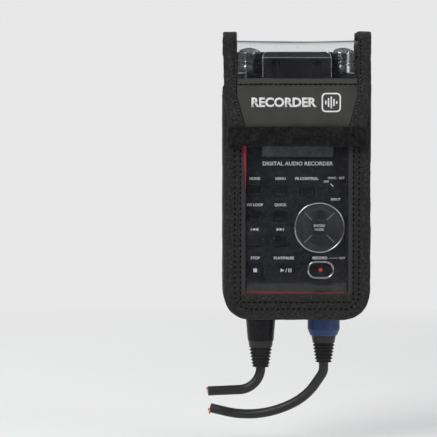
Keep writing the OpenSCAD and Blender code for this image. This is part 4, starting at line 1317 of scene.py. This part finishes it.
PALE = (0.8, 0.805, 0.8)
low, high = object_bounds()
FLOOR_RADIUS, FLOOR_THICK, FLOOR_DROP = 3000, 10, 16
shape = Shape()
shape.lathe([(0, -FLOOR_THICK), (FLOOR_RADIUS, -FLOOR_THICK), (FLOOR_RADIUS, 0), (0, 0)],
            Vector((0, 0, low.z - FLOOR_DROP * MM)), UP, RIGHT, 96)
floor = shape.build("floor", 60)
m = Nodes("floor_pale")
tone = m.mix(m.noise(2.5, 2), (0.7, 0.7, 0.69), (0.76, 0.76, 0.755))
# mirrored in glossy parts, the floor in front of the object falls away into the dark
rays = m.new("ShaderNodeLightPath").outputs
dark = m.times(rays["Is Glossy Ray"], m.ramp(m.xyz()[1], -1.0, -0.3, 1, 0))
lit = m.shader("BsdfPrincipled", Base_Color=m.mix(dark, tone, (0.04,) * 3), Roughness=0.9)
# towards its edge the floor runs into the pale surroundings
away = m.new("ShaderNodeVectorMath", operation="LENGTH")
m.link(m.coord, away.inputs[0])
far = m.times(rays["Is Camera Ray"], m.ramp(away.outputs["Value"], 0.35, 1.0))
floor.data.materials.append(m.done(m.blend(far, lit, m.shader("Emission", Color=PALE))))


def soft_light(name, at, aim, size, watts, mirrored=True):
    data = bpy.data.lights.new(name, "AREA")
    data.shape = "RECTANGLE"
    data.size, data.size_y = size
    data.energy = watts
    ob = bpy.data.objects.new(name, data)
    ob.location = at
    ob.rotation_mode = "QUATERNION"
    ob.rotation_quaternion = (Vector(aim) - Vector(at)).to_track_quat("-Z", "Y")
    ob.visible_glossy = mirrored
    bpy.context.scene.collection.objects.link(ob)


soft_light("key", (-0.75, -0.9, 0.85), (0, 0, 0), (0.7, 0.7), 11)
soft_light("fill", (0.95, -0.8, 0.3), (0, 0, 0), (0.6, 0.9), 3.6)
soft_light("top", (0.1, 0.15, 1.1), (0, 0, 0), (0.9, 0.5), 6, False)
soft_light("back", (-0.5, 0.85, 0.5), (0, 0, 0), (0.7, 0.5), 3.5, False)

# the room lights from above; the camera sees it plain
m = Nodes("room", world=True)
sky = m.shader("Background", Color=(0.94, 0.95, 1.0),
               Strength=m.ramp(m.xyz()[2], 0.0, 0.85, 0.05, 0.5))
plain = m.shader("Background", Color=PALE)
seen = m.new("ShaderNodeLightPath").outputs["Is Camera Ray"]
bpy.context.scene.world = m.done(m.blend(seen, sky, plain))
bpy.context.scene.view_settings.view_transform = "Standard"

# the square view is 273 mm wide at the pouch's front
FIELD = 273 * MM
DISTANCE = 1.5
SENSOR = 36
camera_data = bpy.data.cameras.new("camera")
camera_data.sensor_width = SENSOR
camera_data.lens = SENSOR * DISTANCE / FIELD
camera = bpy.data.objects.new("camera", camera_data)
aim = P(-49, PANEL_Y, -27)
tilt = radians(3)
camera.location = aim + Vector((0, -cos(tilt), sin(tilt))) * DISTANCE
camera.rotation_mode = "QUATERNION"
camera.rotation_quaternion = (aim - camera.location).to_track_quat("-Z", "Y")
camera_data.clip_start, camera_data.clip_end = 0.05, 20
bpy.context.scene.collection.objects.link(camera)
bpy.context.scene.camera = camera
